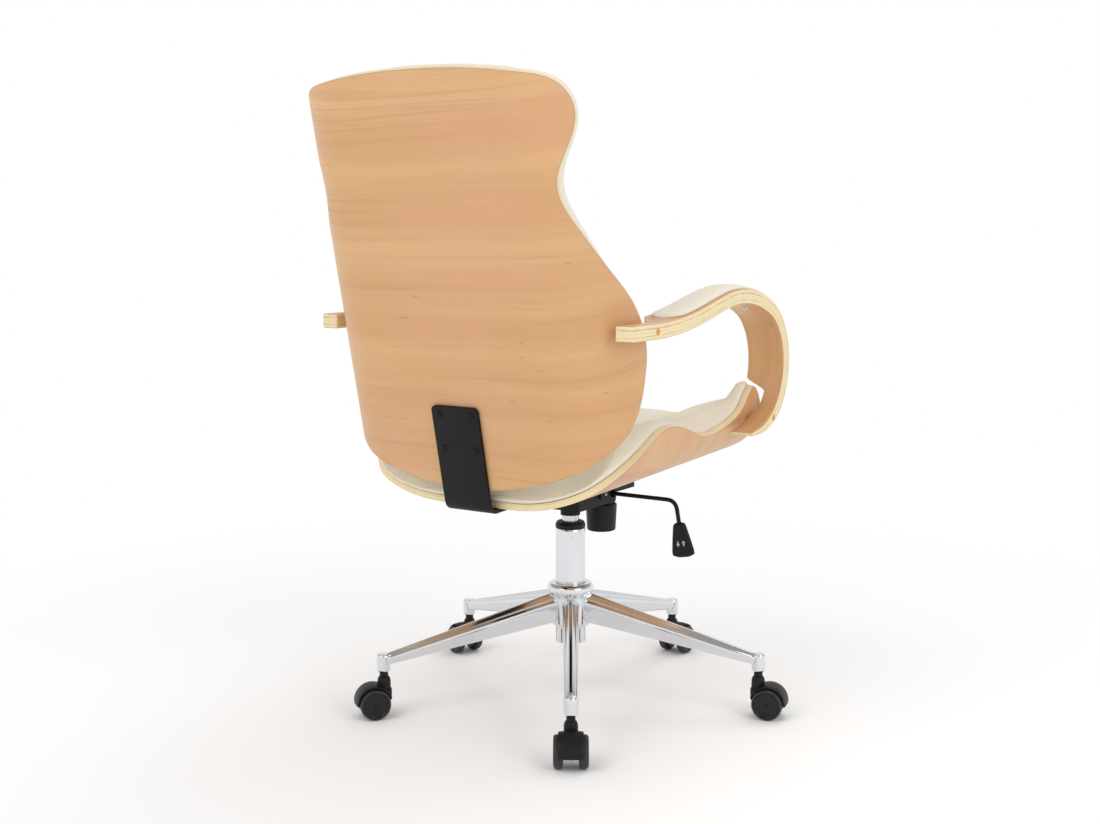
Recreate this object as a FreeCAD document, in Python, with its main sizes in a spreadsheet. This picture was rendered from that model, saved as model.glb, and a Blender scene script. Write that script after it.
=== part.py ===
import FreeCAD, Part
import math
import os

import Sketcher
from BOPTools import SplitAPI
from FreeCAD import Placement, Rotation, Vector

# Bent-plywood swivel chair with arms. Millimetres, +Z up, origin on the floor under the column,
# +Y is where the seat faces and +X is the sitter's right hand.

SHEET = "sizes"
SIZES = [
    # Fits
    ("press_gap", 0.04, "radial gap of a pressed fit"),
    ("run_gap", 0.08, "radial gap of a running fit"),
    ("seat_gap", 0.3, "gap between curved faces that sit together"),
    ("side_gap", 0.5, "gap beside a part that turns or slides"),
    # Base
    ("leg_count", 5, "legs of the base"),
    ("leg_heading", -57, "angle of the first leg from +X"),
    ("stem_circle_radius", 320, "castor stems from the column axis"),
    ("hub_bottom", 123, "height of the hub's lower face"),
    ("hub_top", 199, "height of the hub's upper face"),
    ("hub_radius", 32, "hub under its ring"),
    ("ring_radius", 39, "ring at the top of the hub"),
    ("ring_height", 15, "height of the ring"),
    ("hub_bevel", 4, "bevel of the hub's edges"),
    ("leg_root_radius", 28, "where a leg starts inside the hub"),
    ("leg_root_top", 184, "ridge of a leg at the hub"),
    ("leg_root_depth", 50, "depth of a leg at the hub"),
    ("leg_root_width", 27, "width of a leg at the hub"),
    ("leg_tip_top", 102, "ridge of a leg over its socket"),
    ("leg_tip_depth", 17, "depth of a leg at its socket"),
    ("leg_tip_width", 20, "width of a leg at its socket"),
    ("leg_ridge_width", 5, "flat along a leg's ridge"),
    ("socket_bottom", 75, "height of a socket's lower face"),
    ("socket_radius", 11, "outside of a socket"),
    ("socket_depth", 22, "depth of a socket's bore"),
    # Castors
    ("stem_radius", 5.5, "castor stem"),
    ("stem_foot", 30, "height of the stem's lower end"),
    ("stem_collar_radius", 7, "collar under the socket"),
    ("stem_collar_height", 9, "height of the collar"),
    ("wheel_radius", 25, "castor wheel"),
    ("wheel_width", 15, "width of one wheel"),
    ("wheel_bevel", 3, "bevel of a tread"),
    ("wheel_dish", 1.4, "depth of the dished disc"),
    ("wheel_boss_radius", 8, "boss round the axle"),
    ("axle_radius", 4, "castor axle"),
    ("castor_trail", 18, "axle behind the stem"),
    ("web_half", 11, "half width of the hood between the wheels"),
    ("hood_top", 65, "top of the hood's boss"),
    ("hood_boss_radius", 11, "boss round the stem"),
    ("guard_gap", 1.2, "mudguard over the tread"),
    ("guard_wall", 2.8, "thickness of the mudguard"),
    ("guard_half", 19, "half width of the mudguard"),
    ("guard_sweep", 165, "angle that the mudguard covers"),
    # Gas column
    ("tube_radius", 25, "column tube"),
    ("tube_wall", 2, "wall of the tube"),
    ("tube_bottom", 98, "height of the tube's floor"),
    ("tube_floor", 6, "thickness of the tube's floor"),
    ("tube_clear", 22, "socket of the housing over the tube"),
    ("tube_top", "=collar_bottom - tube_clear", "height of the tube's rim"),
    ("bush_collar", 11, "height of the bush above the tube"),
    ("bush_length", 88, "length of the bush"),
    ("cylinder_radius", 14, "gas cylinder"),
    ("cylinder_wall", 2, "wall of the gas cylinder"),
    ("cylinder_bottom", 113, "height of the cylinder's lower end"),
    ("cylinder_reach", 22, "cylinder over the housing's floor"),
    ("cylinder_top", "=housing_bottom + cylinder_reach", "height of the cylinder's upper end"),
    ("cylinder_cap", 14, "thickness of the cylinder's ends"),
    ("rod_radius", 5, "piston rod"),
    ("rod_tail", 8, "rod below the tube's floor"),
    ("rod_collar_radius", 9, "shoulder on the bearing"),
    ("piston_height", 12, "height of the piston head"),
    ("piston_drop", 42, "piston head under the tube's rim"),
    ("piston_top", "=tube_top - piston_drop", "height of the piston head's top"),
    ("bearing_height", 4, "thrust bearing"),
    ("bearing_radius", 12, "outside of the bearing"),
    ("clip_height", 2, "retaining clip"),
    ("clip_radius", 9, "outside of the clip"),
    ("pin_radius", 3, "release pin"),
    ("pin_length", 24, "length of the release pin"),
    ("pin_proud", 10.2, "release pin above the cylinder"),
    # Tilt mechanism
    ("housing_half", 48, "half width of the housing"),
    ("housing_wall", 3, "wall of the housing"),
    ("housing_rear", 48, "housing behind the column"),
    ("housing_front", 128, "housing before the column"),
    ("housing_step", 66, "where the housing's floor steps up"),
    ("housing_under", 51, "housing's floor under the seat shell"),
    ("housing_bottom", "=seat_under - housing_under", "height of the housing's floor"),
    ("step_height", 16, "rise of the floor at the front"),
    ("wall_height", 34, "housing's walls over its floor"),
    ("housing_top", "=housing_bottom + wall_height", "height of the housing's walls"),
    ("rear_slope", 14, "drop of the walls at the rear"),
    ("collar_radius", 16.5, "socket round the cylinder"),
    ("collar_drop", 16, "socket below the housing's floor"),
    ("collar_bottom", "=housing_bottom - collar_drop", "height of the socket's lower face"),
    ("collar_height", 14, "straight part of the socket"),
    ("flare_radius", 22, "socket where it meets the floor"),
    ("pivot_forward", 25, "tilt pivot before the column"),
    ("pivot_under", 29, "tilt pivot under the seat shell"),
    ("pivot_height", "=seat_under - pivot_under", "height of the tilt pivot"),
    ("pivot_radius", 5, "tilt pivot pin"),
    ("plate_half", 80, "half width of the seat plate"),
    ("plate_rear", 95, "seat plate behind the column"),
    ("plate_front", 124, "seat plate before the column"),
    ("plate_wall", 3, "thickness of the seat plate"),
    ("ear_half", 18, "half length of a plate ear"),
    ("ear_drop", 10, "ear below the pivot"),
    ("bolt_forward", 98, "tension bolt before the column"),
    ("bolt_radius", 5, "tension bolt"),
    ("bolt_hole_radius", 10, "hole for the swinging bolt"),
    ("bolt_under", 100, "bolt's lower end under the seat shell"),
    ("bolt_end", "=seat_under - bolt_under", "height of the bolt's lower end"),
    ("knob_below", 10, "knob below the bolt's end"),
    ("knob_bottom", "=bolt_end - knob_below", "height of the knob's lower face"),
    ("knob_height", 46, "height of the knob"),
    ("knob_top", "=knob_bottom + knob_height", "height of the knob's rim"),
    ("knob_radius", 27, "knob at its rim"),
    ("knob_taper", 2.5, "how much the knob narrows"),
    ("knob_wall", 3, "wall of the knob's cup"),
    ("knob_floor", 21, "thickness of the knob's floor"),
    ("knob_bore_depth", 18, "depth of the knob's thread"),
    ("washer_height", 2.5, "washer under the spring"),
    ("spring_radius", 17, "middle of the spring's wire"),
    ("spring_wire", 2.2, "radius of the spring's wire"),
    ("spring_turns", 5, "turns of the spring"),
    ("lever_forward", 58, "lever before the column"),
    ("lever_over", 15, "lever over the housing's floor"),
    ("lever_height", "=housing_bottom + lever_over", "height of the lever"),
    ("lever_radius", 3.5, "lever rod"),
    ("lever_pivot_side", 24, "lever's pivot from the middle"),
    ("lever_reach", 168, "where the rod bends down"),
    ("lever_drop", 45, "rod below its bend"),
    ("lever_lean", 8, "outward lean of the dropped end"),
    ("lever_bend", 12, "radius of the rod's bends"),
    ("finger_side", 3, "finger over the release pin, past the middle"),
    ("finger_rear", 7, "finger past the release pin"),
    ("finger_front", 36, "where the finger comes down"),
    ("fork_half", 10, "half length of the lock slider"),
    ("fork_cheek", 2, "cheek of the lock slider"),
    ("fork_height", 17, "height of the lock slider"),
    ("fork_floor", 3.5, "floor of the lock slider"),
    ("lever_pin_radius", 1.6, "lever's pivot pin"),
    ("paddle_length", 59, "length of the paddle"),
    ("paddle_top_width", 14, "paddle at the rod"),
    ("paddle_low_width", 42, "paddle at its foot"),
    ("paddle_top_depth", 10, "thickness of the paddle at the rod"),
    ("paddle_low_depth", 8, "thickness of the paddle at its foot"),
    ("paddle_socket", 10, "rod inside the paddle"),
    # Seat
    ("ply_thickness", 11, "bent plywood of seat and back"),
    ("seat_under", 381, "height of the seat shell over the column"),
    ("seat_pitch", 2.4, "rise of the seat towards the front"),
    ("seat_flat_half", 64, "flat middle of the seat shell"),
    ("seat_belly_radius", 300, "gentle curve beside the flat"),
    ("seat_belly_angle", 24, "turn of the gentle curve"),
    ("seat_side_radius", 114, "curve of the side walls"),
    ("seat_side_angle", 84, "slope of the side walls"),
    ("seat_rear", 262, "seat shell behind the column"),
    ("seat_front", 226, "seat shell before the column"),
    ("rear_corner_height", 30, "side edge at the rear corner"),
    ("rear_corner_place", 250, "rear corner behind the column"),
    ("rear_rise_height", 88, "side edge on the way up"),
    ("rear_rise_place", 176, "the same behind the column"),
    ("rear_wave_height", 114, "rear wave of the side edge"),
    ("rear_wave_place", 108, "rear wave behind the column"),
    ("wave_half", 20, "half length of a wave's flat"),
    ("rear_fall_place", 30, "middle of the wave's fall behind the column"),
    ("dip_height", 79, "dip of the side edge"),
    ("dip_place", 50, "dip before the column"),
    ("lobe_rise_place", 136, "middle of the lobe's rise before the column"),
    ("lobe_height", 141, "front lobe of the side edge"),
    ("lobe_place", 167, "front lobe before the column"),
    ("lobe_front_height", 110, "lobe on its way down"),
    ("lobe_front_place", 200, "the same before the column"),
    ("front_corner_height", 50, "side edge at the front corner"),
    ("front_corner_place", 224, "front corner before the column"),
    ("pad_proud", 6, "cushions past the plywood's edge"),
    ("seat_pad_height", 78, "seat cushion over the shell's underside"),
    ("seat_crown", 4, "slope of the seat cushion's crown"),
    ("seat_pad_round", 20, "roll of the seat cushion's rim"),
    ("rear_lip_height", 22, "seat cushion under the back"),
    ("rear_slope_length", 95, "slope of the seat cushion's rear"),
    ("scoop_half", 215, "half width of that slope"),
    ("seat_bolt_side", 62, "seat bolts from the middle"),
    ("seat_bolt_rear", 78, "rear seat bolts behind the column"),
    ("seat_bolt_front", 104, "front seat bolts before the column"),
    ("bolt_shank", 3, "radius of seat and bracket bolts"),
    ("bolt_head", 6, "radius of their heads"),
    ("bolt_head_height", 4, "height of their heads"),
    # Back
    ("back_rear", 306, "back shell behind the column at its datum"),
    ("back_over", 119, "back's datum over the seat shell"),
    ("back_datum", "=seat_under + back_over", "height of the back's datum"),
    ("back_recline", 12, "lean of the back"),
    ("back_middle_radius", 2400, "curve of the back's middle"),
    ("back_middle_angle", 3.6, "half angle of the middle"),
    ("back_wing_radius", 113.5, "curve of the wings"),
    ("back_wing_angle", 106, "turn of the wings"),
    ("back_top", 523, "top edge over the datum"),
    ("back_bottom", 102, "bottom edge under the datum"),
    ("foot_rise", 20, "rise of the bottom edge towards the wings"),
    ("hip_depth", 38, "wing's edge over the foot"),
    ("hip_place", 49, "the same under the datum"),
    ("low_wing", 139, "depth of the lower wings"),
    ("low_wing_place", 92, "height of the lower wings"),
    ("waist_depth", 26, "depth of the waist"),
    ("waist_place", 352, "height of the waist"),
    ("shoulder_depth", 52, "depth of the shoulders"),
    ("shoulder_place", 450, "height of the shoulders"),
    ("corner_depth", 36, "depth of the top corners"),
    ("corner_place", 489, "height of the top corners"),
    ("top_drop", 15, "fall of the top edge towards its corners"),
    ("back_pad_height", 50, "back cushion over the shell's rear face"),
    ("back_crown", 2.5, "slope of the back cushion's crown"),
    ("back_pad_round", 14, "roll of the back cushion's rim"),
    # Back bracket
    ("bracket_half", 42.5, "half width of the bar"),
    ("bracket_wall", 6, "thickness of the bar"),
    ("bracket_bend", 12, "inner radius of its bend"),
    ("bracket_rise", 30, "top of the bar over the back's datum"),
    ("bracket_corner", 8, "radius of its corners"),
    ("bracket_forward", 125, "front end of the bar behind the column"),
    ("screw_side", 29, "bracket screws from the middle"),
    ("screw_high", 17, "upper screws over the datum"),
    ("screw_low", -37, "lower screws over the datum"),
    ("screw_shank", 2.5, "radius of the wood screws"),
    ("screw_head", 5.5, "radius of their heads"),
    ("screw_dome", 3, "height of their heads"),
    ("screw_length", 14, "length of the wood screws"),
    ("bracket_bolt_side", 24, "bracket bolts from the middle"),
    ("bracket_bolt_place", 165, "bracket bolts behind the column"),
    # Arms
    ("arm_inner", 257.5, "inner face of the narrow arm"),
    ("arm_narrow", 30, "width of the narrow arm"),
    ("arm_wide", 60, "width under the pad"),
    ("arm_thickness", 23, "laminated thickness"),
    ("arm_rear", 281, "rear end behind the column"),
    ("arm_over", 263, "middle of the rear end over the seat shell"),
    ("arm_height", "=seat_under + arm_over", "height of the rear end"),
    ("arm_straight", 66, "straight rear end"),
    ("arm_rise_radius", 700, "curve up from the rear end"),
    ("arm_rise_angle", 12.5, "slope under the pad"),
    ("arm_slope_length", 70, "straight slope"),
    ("arm_crown_radius", 245, "curve over the top"),
    ("arm_shoulder_angle", 25, "slope where the front bends"),
    ("arm_front_radius", 100, "bend of the front"),
    ("arm_steep_angle", 90, "slope where the front turns back"),
    ("arm_lower_radius", 115, "bend back under the seat's side"),
    ("arm_end_angle", 170, "direction of the lower end"),
    ("arm_end_length", 28, "straight lower end"),
    ("notch_rear", 150, "where the arm widens, behind the column"),
    ("notch_over", 147, "where the arm narrows, over the seat shell"),
    ("notch_low", "=seat_under + notch_over", "height where the arm narrows"),
    ("notch_run", 40, "length of the change of width"),
    ("arm_pad_height", 12, "thickness of an arm pad"),
    ("arm_pad_inset", 5, "pad inside the arm's edges"),
    ("arm_pad_start", 112, "pad's rear end along the arm"),
    ("arm_pad_end", 490, "pad's front end along the arm"),
    ("arm_pad_corner", 14, "corners of the pad from above"),
    ("arm_pad_round", 5, "rounding of the pad's edges"),
    ("rear_screw_place", 212, "rear arm screw behind the column"),
    ("low_screw_along", 82, "lower arm screw from the arm's end"),
    ("arm_screw_radius", 3, "arm screws"),
    ("rear_screw_end", 248, "inner end of the rear screws"),
    ("low_screw_end", 242, "inner end of the lower screws"),
    ("plug_radius", 5.5, "plugs over the arm screws"),
    ("plug_depth", 6, "depth of a plug"),
    ("spacer_radius", 10, "spacer between arm and seat"),
    ("pad_screw_first", 250, "first pad screw along the arm"),
    ("pad_screw_second", 420, "second pad screw along the arm"),
    ("pad_screw_radius", 2, "pad screws"),
    ("pad_screw_head", 4.5, "radius of the pad screws' heads"),
    ("pad_screw_dome", 2.5, "height of the pad screws' heads"),
]

doc = FreeCAD.newDocument("office_chair")
sheet = doc.addObject("Spreadsheet::Sheet", SHEET)
for row, (alias, amount, note) in enumerate(SIZES, start=1):
    sheet.set(f"A{row}", note)
    sheet.set(f"B{row}", str(amount))
    sheet.setAlias(f"B{row}", alias)
doc.recompute()

PIECES = {}


class Dim:
    """A length or angle together with the cell expression that gives it."""

    def __init__(self, value, text):
        self.value = float(value)
        self.text = text

    @staticmethod
    def of(other):
        return other if isinstance(other, Dim) else Dim(other, repr(other))

    def __add__(self, other):
        other = Dim.of(other)
        return Dim(self.value + other.value, f"({self.text} + {other.text})")

    def __sub__(self, other):
        other = Dim.of(other)
        return Dim(self.value - other.value, f"({self.text} - {other.text})")

    def __mul__(self, other):
        other = Dim.of(other)
        return Dim(self.value * other.value, f"({self.text} * {other.text})")

    def __truediv__(self, other):
        other = Dim.of(other)
        return Dim(self.value / other.value, f"({self.text} / {other.text})")

    def __neg__(self):
        return Dim(-self.value, f"(-1 * {self.text})")

    def __float__(self):
        return self.value


class Cells:
    """Reads a size from the sheet as a Dim."""

    def __getattr__(self, alias):
        return Dim(sheet.get(alias), f"{SHEET}.{alias}")


class Numbers:
    """Reads a size from the sheet as a plain number."""

    def __getattr__(self, alias):
        return float(sheet.get(alias))


dim = Cells()
val = Numbers()
ZERO = Dim(0, "0")


def piece(made, label):
    """Name a finished sub-part."""
    made.Label = label
    PIECES[label] = made
    return made


def bind(made, **sizes):
    """Tie properties of an object to the sheet."""
    for name, amount in sizes.items():
        made.setExpression(name, Dim.of(amount).text)
    return made


def move_to(made, x=ZERO, y=ZERO, z=ZERO, rotation=Rotation()):
    """Place an object at a point of the sheet, turned by a rotation."""
    x, y, z = Dim.of(x), Dim.of(y), Dim.of(z)
    made.Placement = Placement(Vector(x.value, y.value, z.value), rotation)
    for axis, amount in zip("xyz", (x, y, z)):
        made.setExpression(f"Placement.Base.{axis}", amount.text)
    return made


# Bodies from sketches


def new_body(label):
    return piece(doc.addObject("PartDesign::Body", label), label)


def origin_feature(body, role):
    return next(item for item in body.Origin.OriginFeatures if item.Role == role)


def fix_point(sketch, geometry, corner, x, y):
    """Hold one point of a sketch at sheet distances from the sketch's origin."""
    for kind, amount, axis in (("DistanceX", x, -2), ("DistanceY", y, -1)):
        if amount.text == "0":
            sketch.addConstraint(Sketcher.Constraint("PointOnObject", geometry, corner, axis))
            continue
        index = sketch.addConstraint(
            Sketcher.Constraint(kind, -1, 1, geometry, corner, amount.value))
        sketch.setExpression(f"Constraints[{index}]", amount.text)


def sketch_on(body, plane, loops=(), circles=(), offset=(ZERO, ZERO, ZERO)):
    """A sketch of closed polygons and circles, each corner tied to the sheet."""
    sketch = body.newObject("Sketcher::SketchObject", "outline")
    sketch.AttachmentSupport = [(origin_feature(body, plane), "")]
    sketch.MapMode = "FlatFace"
    for axis, amount in zip("xyz", offset):
        sketch.setExpression(f"AttachmentOffset.Base.{axis}", Dim.of(amount).text)
    for loop in loops:
        corners = [(Dim.of(x), Dim.of(y)) for x, y in loop]
        points = [Vector(x.value, y.value, 0) for x, y in corners]
        first = sketch.GeometryCount
        count = len(points)
        for index in range(count):
            sketch.addGeometry(Part.LineSegment(points[index], points[(index + 1) % count]), False)
        for index in range(count):
            following = first + (index + 1) % count
            sketch.addConstraint(Sketcher.Constraint("Coincident", first + index, 2, following, 1))
        for index, (x, y) in enumerate(corners):
            fix_point(sketch, first + index, 1, x, y)
    for x, y, radius in circles:
        x, y, radius = Dim.of(x), Dim.of(y), Dim.of(radius)
        centre = Vector(x.value, y.value, 0)
        made = sketch.addGeometry(Part.Circle(centre, Vector(0, 0, 1), radius.value), False)
        fix_point(sketch, made, 3, x, y)
        index = sketch.addConstraint(Sketcher.Constraint("Radius", made, radius.value))
        sketch.setExpression(f"Constraints[{index}]", radius.text)
    return sketch


def feature(body, kind, sketch, **sizes):
    """Add a sketch-based feature to a body."""
    made = body.newObject(f"PartDesign::{kind}", kind.lower())
    made.Profile = sketch
    return bind(made, **sizes)


def pad(body, sketch, length, middle=False, reverse=False):
    made = feature(body, "Pad", sketch, Length=length)
    made.Midplane = middle
    made.Reversed = reverse
    return made


def pocket(body, sketch, length, middle=False, reverse=False):
    made = feature(body, "Pocket", sketch, Length=length)
    made.Midplane = middle
    made.Reversed = reverse
    return made


def turned(label, loop, plane="XZ_Plane"):
    """A turned piece: a profile of (radius, height) corners revolved about Z."""
    body = new_body(label)
    sketch = sketch_on(body, plane, [loop])
    made = feature(body, "Revolution", sketch)
    made.ReferenceAxis = (sketch, ["V_Axis"])
    made.Angle = 360
    return body


# Solids from Part's own functions


def solid_piece(label, shape, placement=Placement()):
    """A sub-part whose shape is worked out below, with its place."""
    made = doc.addObject("Part::Feature", label)
    made.Shape = shape
    made.Placement = placement
    return piece(made, label)


def rod_along(start, direction, radius, length):
    return Part.makeCylinder(radius, length, start, direction)


class Path:
    """A flat path of tangent lines and arcs: start point, heading, then (length, turn) steps.

    A turn is in degrees, positive to the left, and points are (forward, up) pairs.
    """

    def __init__(self, start, heading, steps):
        self.steps = []
        self.length = 0.0
        point, angle = start, math.radians(heading)
        for length, turn in steps:
            self.steps.append((self.length, length, math.radians(turn) / length, point, angle))
            point, angle = self.walk(point, angle, math.radians(turn) / length, length)
            self.length += length

    @staticmethod
    def walk(point, angle, bend, run):
        """The point and heading after a run along a line or an arc."""
        after = angle + bend * run
        if abs(bend) < 1e-9:
            moved = (point[0] + run * math.cos(angle), point[1] + run * math.sin(angle))
        else:
            moved = (point[0] + (math.sin(after) - math.sin(angle)) / bend,
                     point[1] - (math.cos(after) - math.cos(angle)) / bend)
        return moved, after

    def at(self, along, aside=0.0):
        """A point beside the path, to its left, and the heading there."""
        for start, length, bend, point, angle in self.steps:
            if along <= start + length + 1e-9:
                break
        moved, after = self.walk(point, angle, bend, along - start)
        return (moved[0] - aside * math.sin(after), moved[1] + aside * math.cos(after)), after

    def edges(self, first, last, aside, lift):
        """Edges of the path between two distances, offset to the left and lifted into space."""
        made = []
        for start, length, bend, _, _ in self.steps:
            low, high = max(first, start), min(last, start + length)
            if high - low < 1e-6:
                continue
            ends = [lift(*self.at(along, aside)[0]) for along in (low, 0.5 * (low + high), high)]
            if abs(bend) < 1e-9:
                made.append(Part.LineSegment(ends[0], ends[2]).toShape())
            else:
                made.append(Part.Arc(*ends).toShape())
        return made

    def ribbon(self, first, last, low, high, lift):
        """A face between two offsets of the path."""
        lower = self.edges(first, last, low, lift)
        upper = self.edges(first, last, high, lift)
        ends = [Part.LineSegment(lift(*self.at(along, low)[0]), lift(*self.at(along, high)[0]))
                for along in (first, last)]
        edges = lower + upper + [end.toShape() for end in ends]
        wires = Part.Wire(Part.__sortEdges__(edges))
        return Part.Face(wires)


def arc_length(radius, angle):
    return radius * math.radians(angle)


def rounded_wire(points, radius):
    """An open path of straight runs with a tangent arc of one radius at each corner."""
    edges = []
    here = points[0]
    for before, corner, after in zip(points, points[1:], points[2:]):
        back = (before - corner).normalize()
        on = (after - corner).normalize()
        half = 0.5 * back.getAngle(on)
        reach = radius / math.tan(half)
        start, end = corner + back * reach, corner + on * reach
        bisector = (back + on).normalize()
        middle = corner + bisector * (radius / math.sin(half) - radius)
        edges.append(Part.LineSegment(here, start).toShape())
        edges.append(Part.Arc(start, middle, end).toShape())
        here = end
    edges.append(Part.LineSegment(here, points[-1]).toShape())
    return Part.Wire(edges)


def tube_along(wire, start, direction, radius):
    """A round bar along a wire."""
    circle = Part.Wire(Part.makeCircle(radius, start, direction))
    return wire.makePipeShell([circle], True, True)


def smooth_face(corners, curve, lift):
    """A face closed by straight corners and one smooth curve through points."""
    spline = Part.BSplineCurve()
    spline.interpolate([lift(*point) for point in curve])
    ends = [curve[-1]] + corners + [curve[0]]
    lines = [Part.LineSegment(lift(*one), lift(*two)).toShape() for one, two in zip(ends, ends[1:])]
    return Part.Face(Part.Wire(Part.__sortEdges__([spline.toShape()] + lines)))


def both_sides(shape):
    """A shape and its mirror across the middle plane."""
    return shape, shape.mirror(Vector(), Vector(1, 0, 0))


# Base


def make_star_base():
    body = new_body("star_base")
    bore = dim.tube_radius + dim.press_gap
    ring_low = dim.hub_top - dim.ring_height
    hub = [
        (bore, dim.hub_bottom),
        (dim.hub_radius - dim.hub_bevel, dim.hub_bottom),
        (dim.hub_radius, dim.hub_bottom + dim.hub_bevel),
        (dim.hub_radius, ring_low),
        (dim.ring_radius, ring_low + dim.hub_bevel),
        (dim.ring_radius, dim.hub_top - dim.hub_bevel),
        (dim.ring_radius - dim.hub_bevel, dim.hub_top),
        (bore, dim.hub_top),
    ]
    outline = sketch_on(body, "XZ_Plane", [hub])
    round_hub = feature(body, "Revolution", outline)
    round_hub.ReferenceAxis = (outline, ["V_Axis"])
    round_hub.Angle = 360

    def section(place, top, depth, width):
        """A ridged leg section: a narrow flat on top, wide shoulders, a narrower foot."""
        ridge, half = dim.leg_ridge_width / 2, width / 2
        middle, bottom = top - depth * 0.45, top - depth
        corners = [(-ridge, top), (ridge, top), (half, middle),
                   (half * 0.7, bottom), (-(half * 0.7), bottom), (-half, middle)]
        return sketch_on(body, "YZ_Plane", [corners], offset=(ZERO, ZERO, place))

    root = section(dim.leg_root_radius, dim.leg_root_top, dim.leg_root_depth, dim.leg_root_width)
    tip = section(dim.stem_circle_radius, dim.leg_tip_top, dim.leg_tip_depth, dim.leg_tip_width)
    leg = body.newObject("PartDesign::AdditiveLoft", "leg")
    leg.Profile = root
    leg.Sections = [tip]
    leg.Ruled = True
    centre = (dim.stem_circle_radius, ZERO)
    on_floor = (ZERO, ZERO, dim.socket_bottom)
    socket_outline = sketch_on(body, "XY_Plane", circles=[(*centre, dim.socket_radius)], offset=on_floor)
    socket = pad(body, socket_outline, dim.leg_tip_top - dim.socket_bottom)
    bore_outline = sketch_on(
        body, "XY_Plane", circles=[(*centre, dim.stem_radius + dim.press_gap)], offset=on_floor)
    stem_bore = pocket(body, bore_outline, dim.socket_depth, reverse=True)
    around = body.newObject("PartDesign::PolarPattern", "legs")
    around.Originals = [leg, socket, stem_bore]
    around.Axis = (origin_feature(body, "Z_Axis"), [""])
    around.Angle = 360
    bind(around, Occurrences=dim.leg_count)
    body.Tip = around
    body.Placement = Placement(Vector(), Rotation(Vector(0, 0, 1), val.leg_heading))
    body.setExpression("Placement.Rotation.Angle", dim.leg_heading.text)


# Castors, each in its own frame: stem on Z, trailing along +X


def castor_place(index):
    turn = val.leg_heading + 360 / val.leg_count * index
    outward = Rotation(Vector(0, 0, 1), turn)
    return Placement(outward.multVec(Vector(val.stem_circle_radius, 0, 0)), outward)


def make_castor_stem(name):
    collar_low = dim.socket_bottom - dim.seat_gap - dim.stem_collar_height
    top = dim.socket_bottom + dim.socket_depth - dim.side_gap
    return turned(f"{name}_stem", [
        (ZERO, dim.stem_foot),
        (dim.stem_radius, dim.stem_foot),
        (dim.stem_radius, collar_low),
        (dim.stem_collar_radius, collar_low),
        (dim.stem_collar_radius, dim.socket_bottom - dim.seat_gap),
        (dim.stem_radius, dim.socket_bottom - dim.seat_gap),
        (dim.stem_radius, top),
        (ZERO, top),
    ])


def make_castor_hood(name):
    body = new_body(f"{name}_hood")
    boss, trail, hub = dim.hood_boss_radius, dim.castor_trail, dim.wheel_boss_radius
    inner = dim.wheel_radius + dim.guard_gap
    crest = inner + dim.guard_wall / 2
    under_guard = [(trail + crest * math.cos(angle), dim.wheel_radius + crest * math.sin(angle))
                   for angle in map(math.radians, (20, 50, 80))]
    web = [
        (-boss, dim.stem_foot - dim.guard_wall),
        (trail - hub, dim.wheel_radius - hub),
        (trail + hub, dim.wheel_radius - hub),
        *under_guard,
        (boss, dim.hood_top),
        (-boss, dim.hood_top),
    ]
    pad(body, sketch_on(body, "XZ_Plane", [web]), dim.web_half * 2, middle=True)
    outer = inner + dim.guard_wall
    section = [(inner, -dim.guard_half), (outer, -dim.guard_half),
               (outer, dim.guard_half), (inner, dim.guard_half)]
    outline = sketch_on(body, "XY_Plane", [section], offset=(trail, ZERO, dim.wheel_radius))
    guard = feature(body, "Revolution", outline, Angle=dim.guard_sweep)
    guard.ReferenceAxis = (outline, ["V_Axis"])
    guard.Reversed = True
    run = dim.stem_radius + dim.run_gap
    stem_hole = sketch_on(body, "XY_Plane", circles=[(ZERO, ZERO, run)],
                          offset=(ZERO, ZERO, dim.stem_foot - dim.side_gap))
    pocket(body, stem_hole, dim.hood_top, reverse=True)
    axle = sketch_on(body, "XZ_Plane", circles=[(trail, dim.wheel_radius, dim.axle_radius + dim.press_gap)])
    pocket(body, axle, dim.web_half * 4, middle=True)
    return body


def make_castor_axle(name):
    axle = doc.addObject("Part::Cylinder", f"{name}_axle")
    reach = dim.web_half + dim.side_gap + dim.wheel_width
    bind(axle, Radius=dim.axle_radius, Height=reach * 2)
    return piece(axle, f"{name}_axle"), Placement(
        Vector(val.castor_trail, -reach.value, val.wheel_radius), Rotation(Vector(1, 0, 0), -90))


def make_castor_wheel(name, side):
    bevel, width, radius = dim.wheel_bevel, dim.wheel_width, dim.wheel_radius
    bore = dim.axle_radius + dim.run_gap
    rim = radius - bevel * 2
    wheel = turned(f"{name}_wheel_{side}", [
        (bore, ZERO), (rim, ZERO), (radius - bevel / 3, bevel / 3), (radius, bevel),
        (radius, width - bevel), (radius - bevel / 2, width - bevel / 4), (rim, width),
        (rim - dim.wheel_dish, width - dim.wheel_dish),
        (dim.wheel_boss_radius + dim.wheel_dish, width - dim.wheel_dish),
        (dim.wheel_boss_radius, width), (bore, width),
    ])
    sign = 1 if side == "right" else -1
    inside = val.web_half + val.side_gap
    turn = Rotation(Vector(1, 0, 0), -90 * sign)
    return wheel, Placement(Vector(val.castor_trail, sign * inside, val.wheel_radius), turn)


def make_castors():
    for index in range(int(val.leg_count)):
        name = f"castor_{index + 1}"
        place = castor_place(index)
        make_castor_stem(name).Placement = place
        make_castor_hood(name).Placement = place
        axle, local = make_castor_axle(name)
        axle.Placement = place.multiply(local)
        for side in ("left", "right"):
            wheel, local = make_castor_wheel(name, side)
            wheel.Placement = place.multiply(local)


# Gas column


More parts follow.
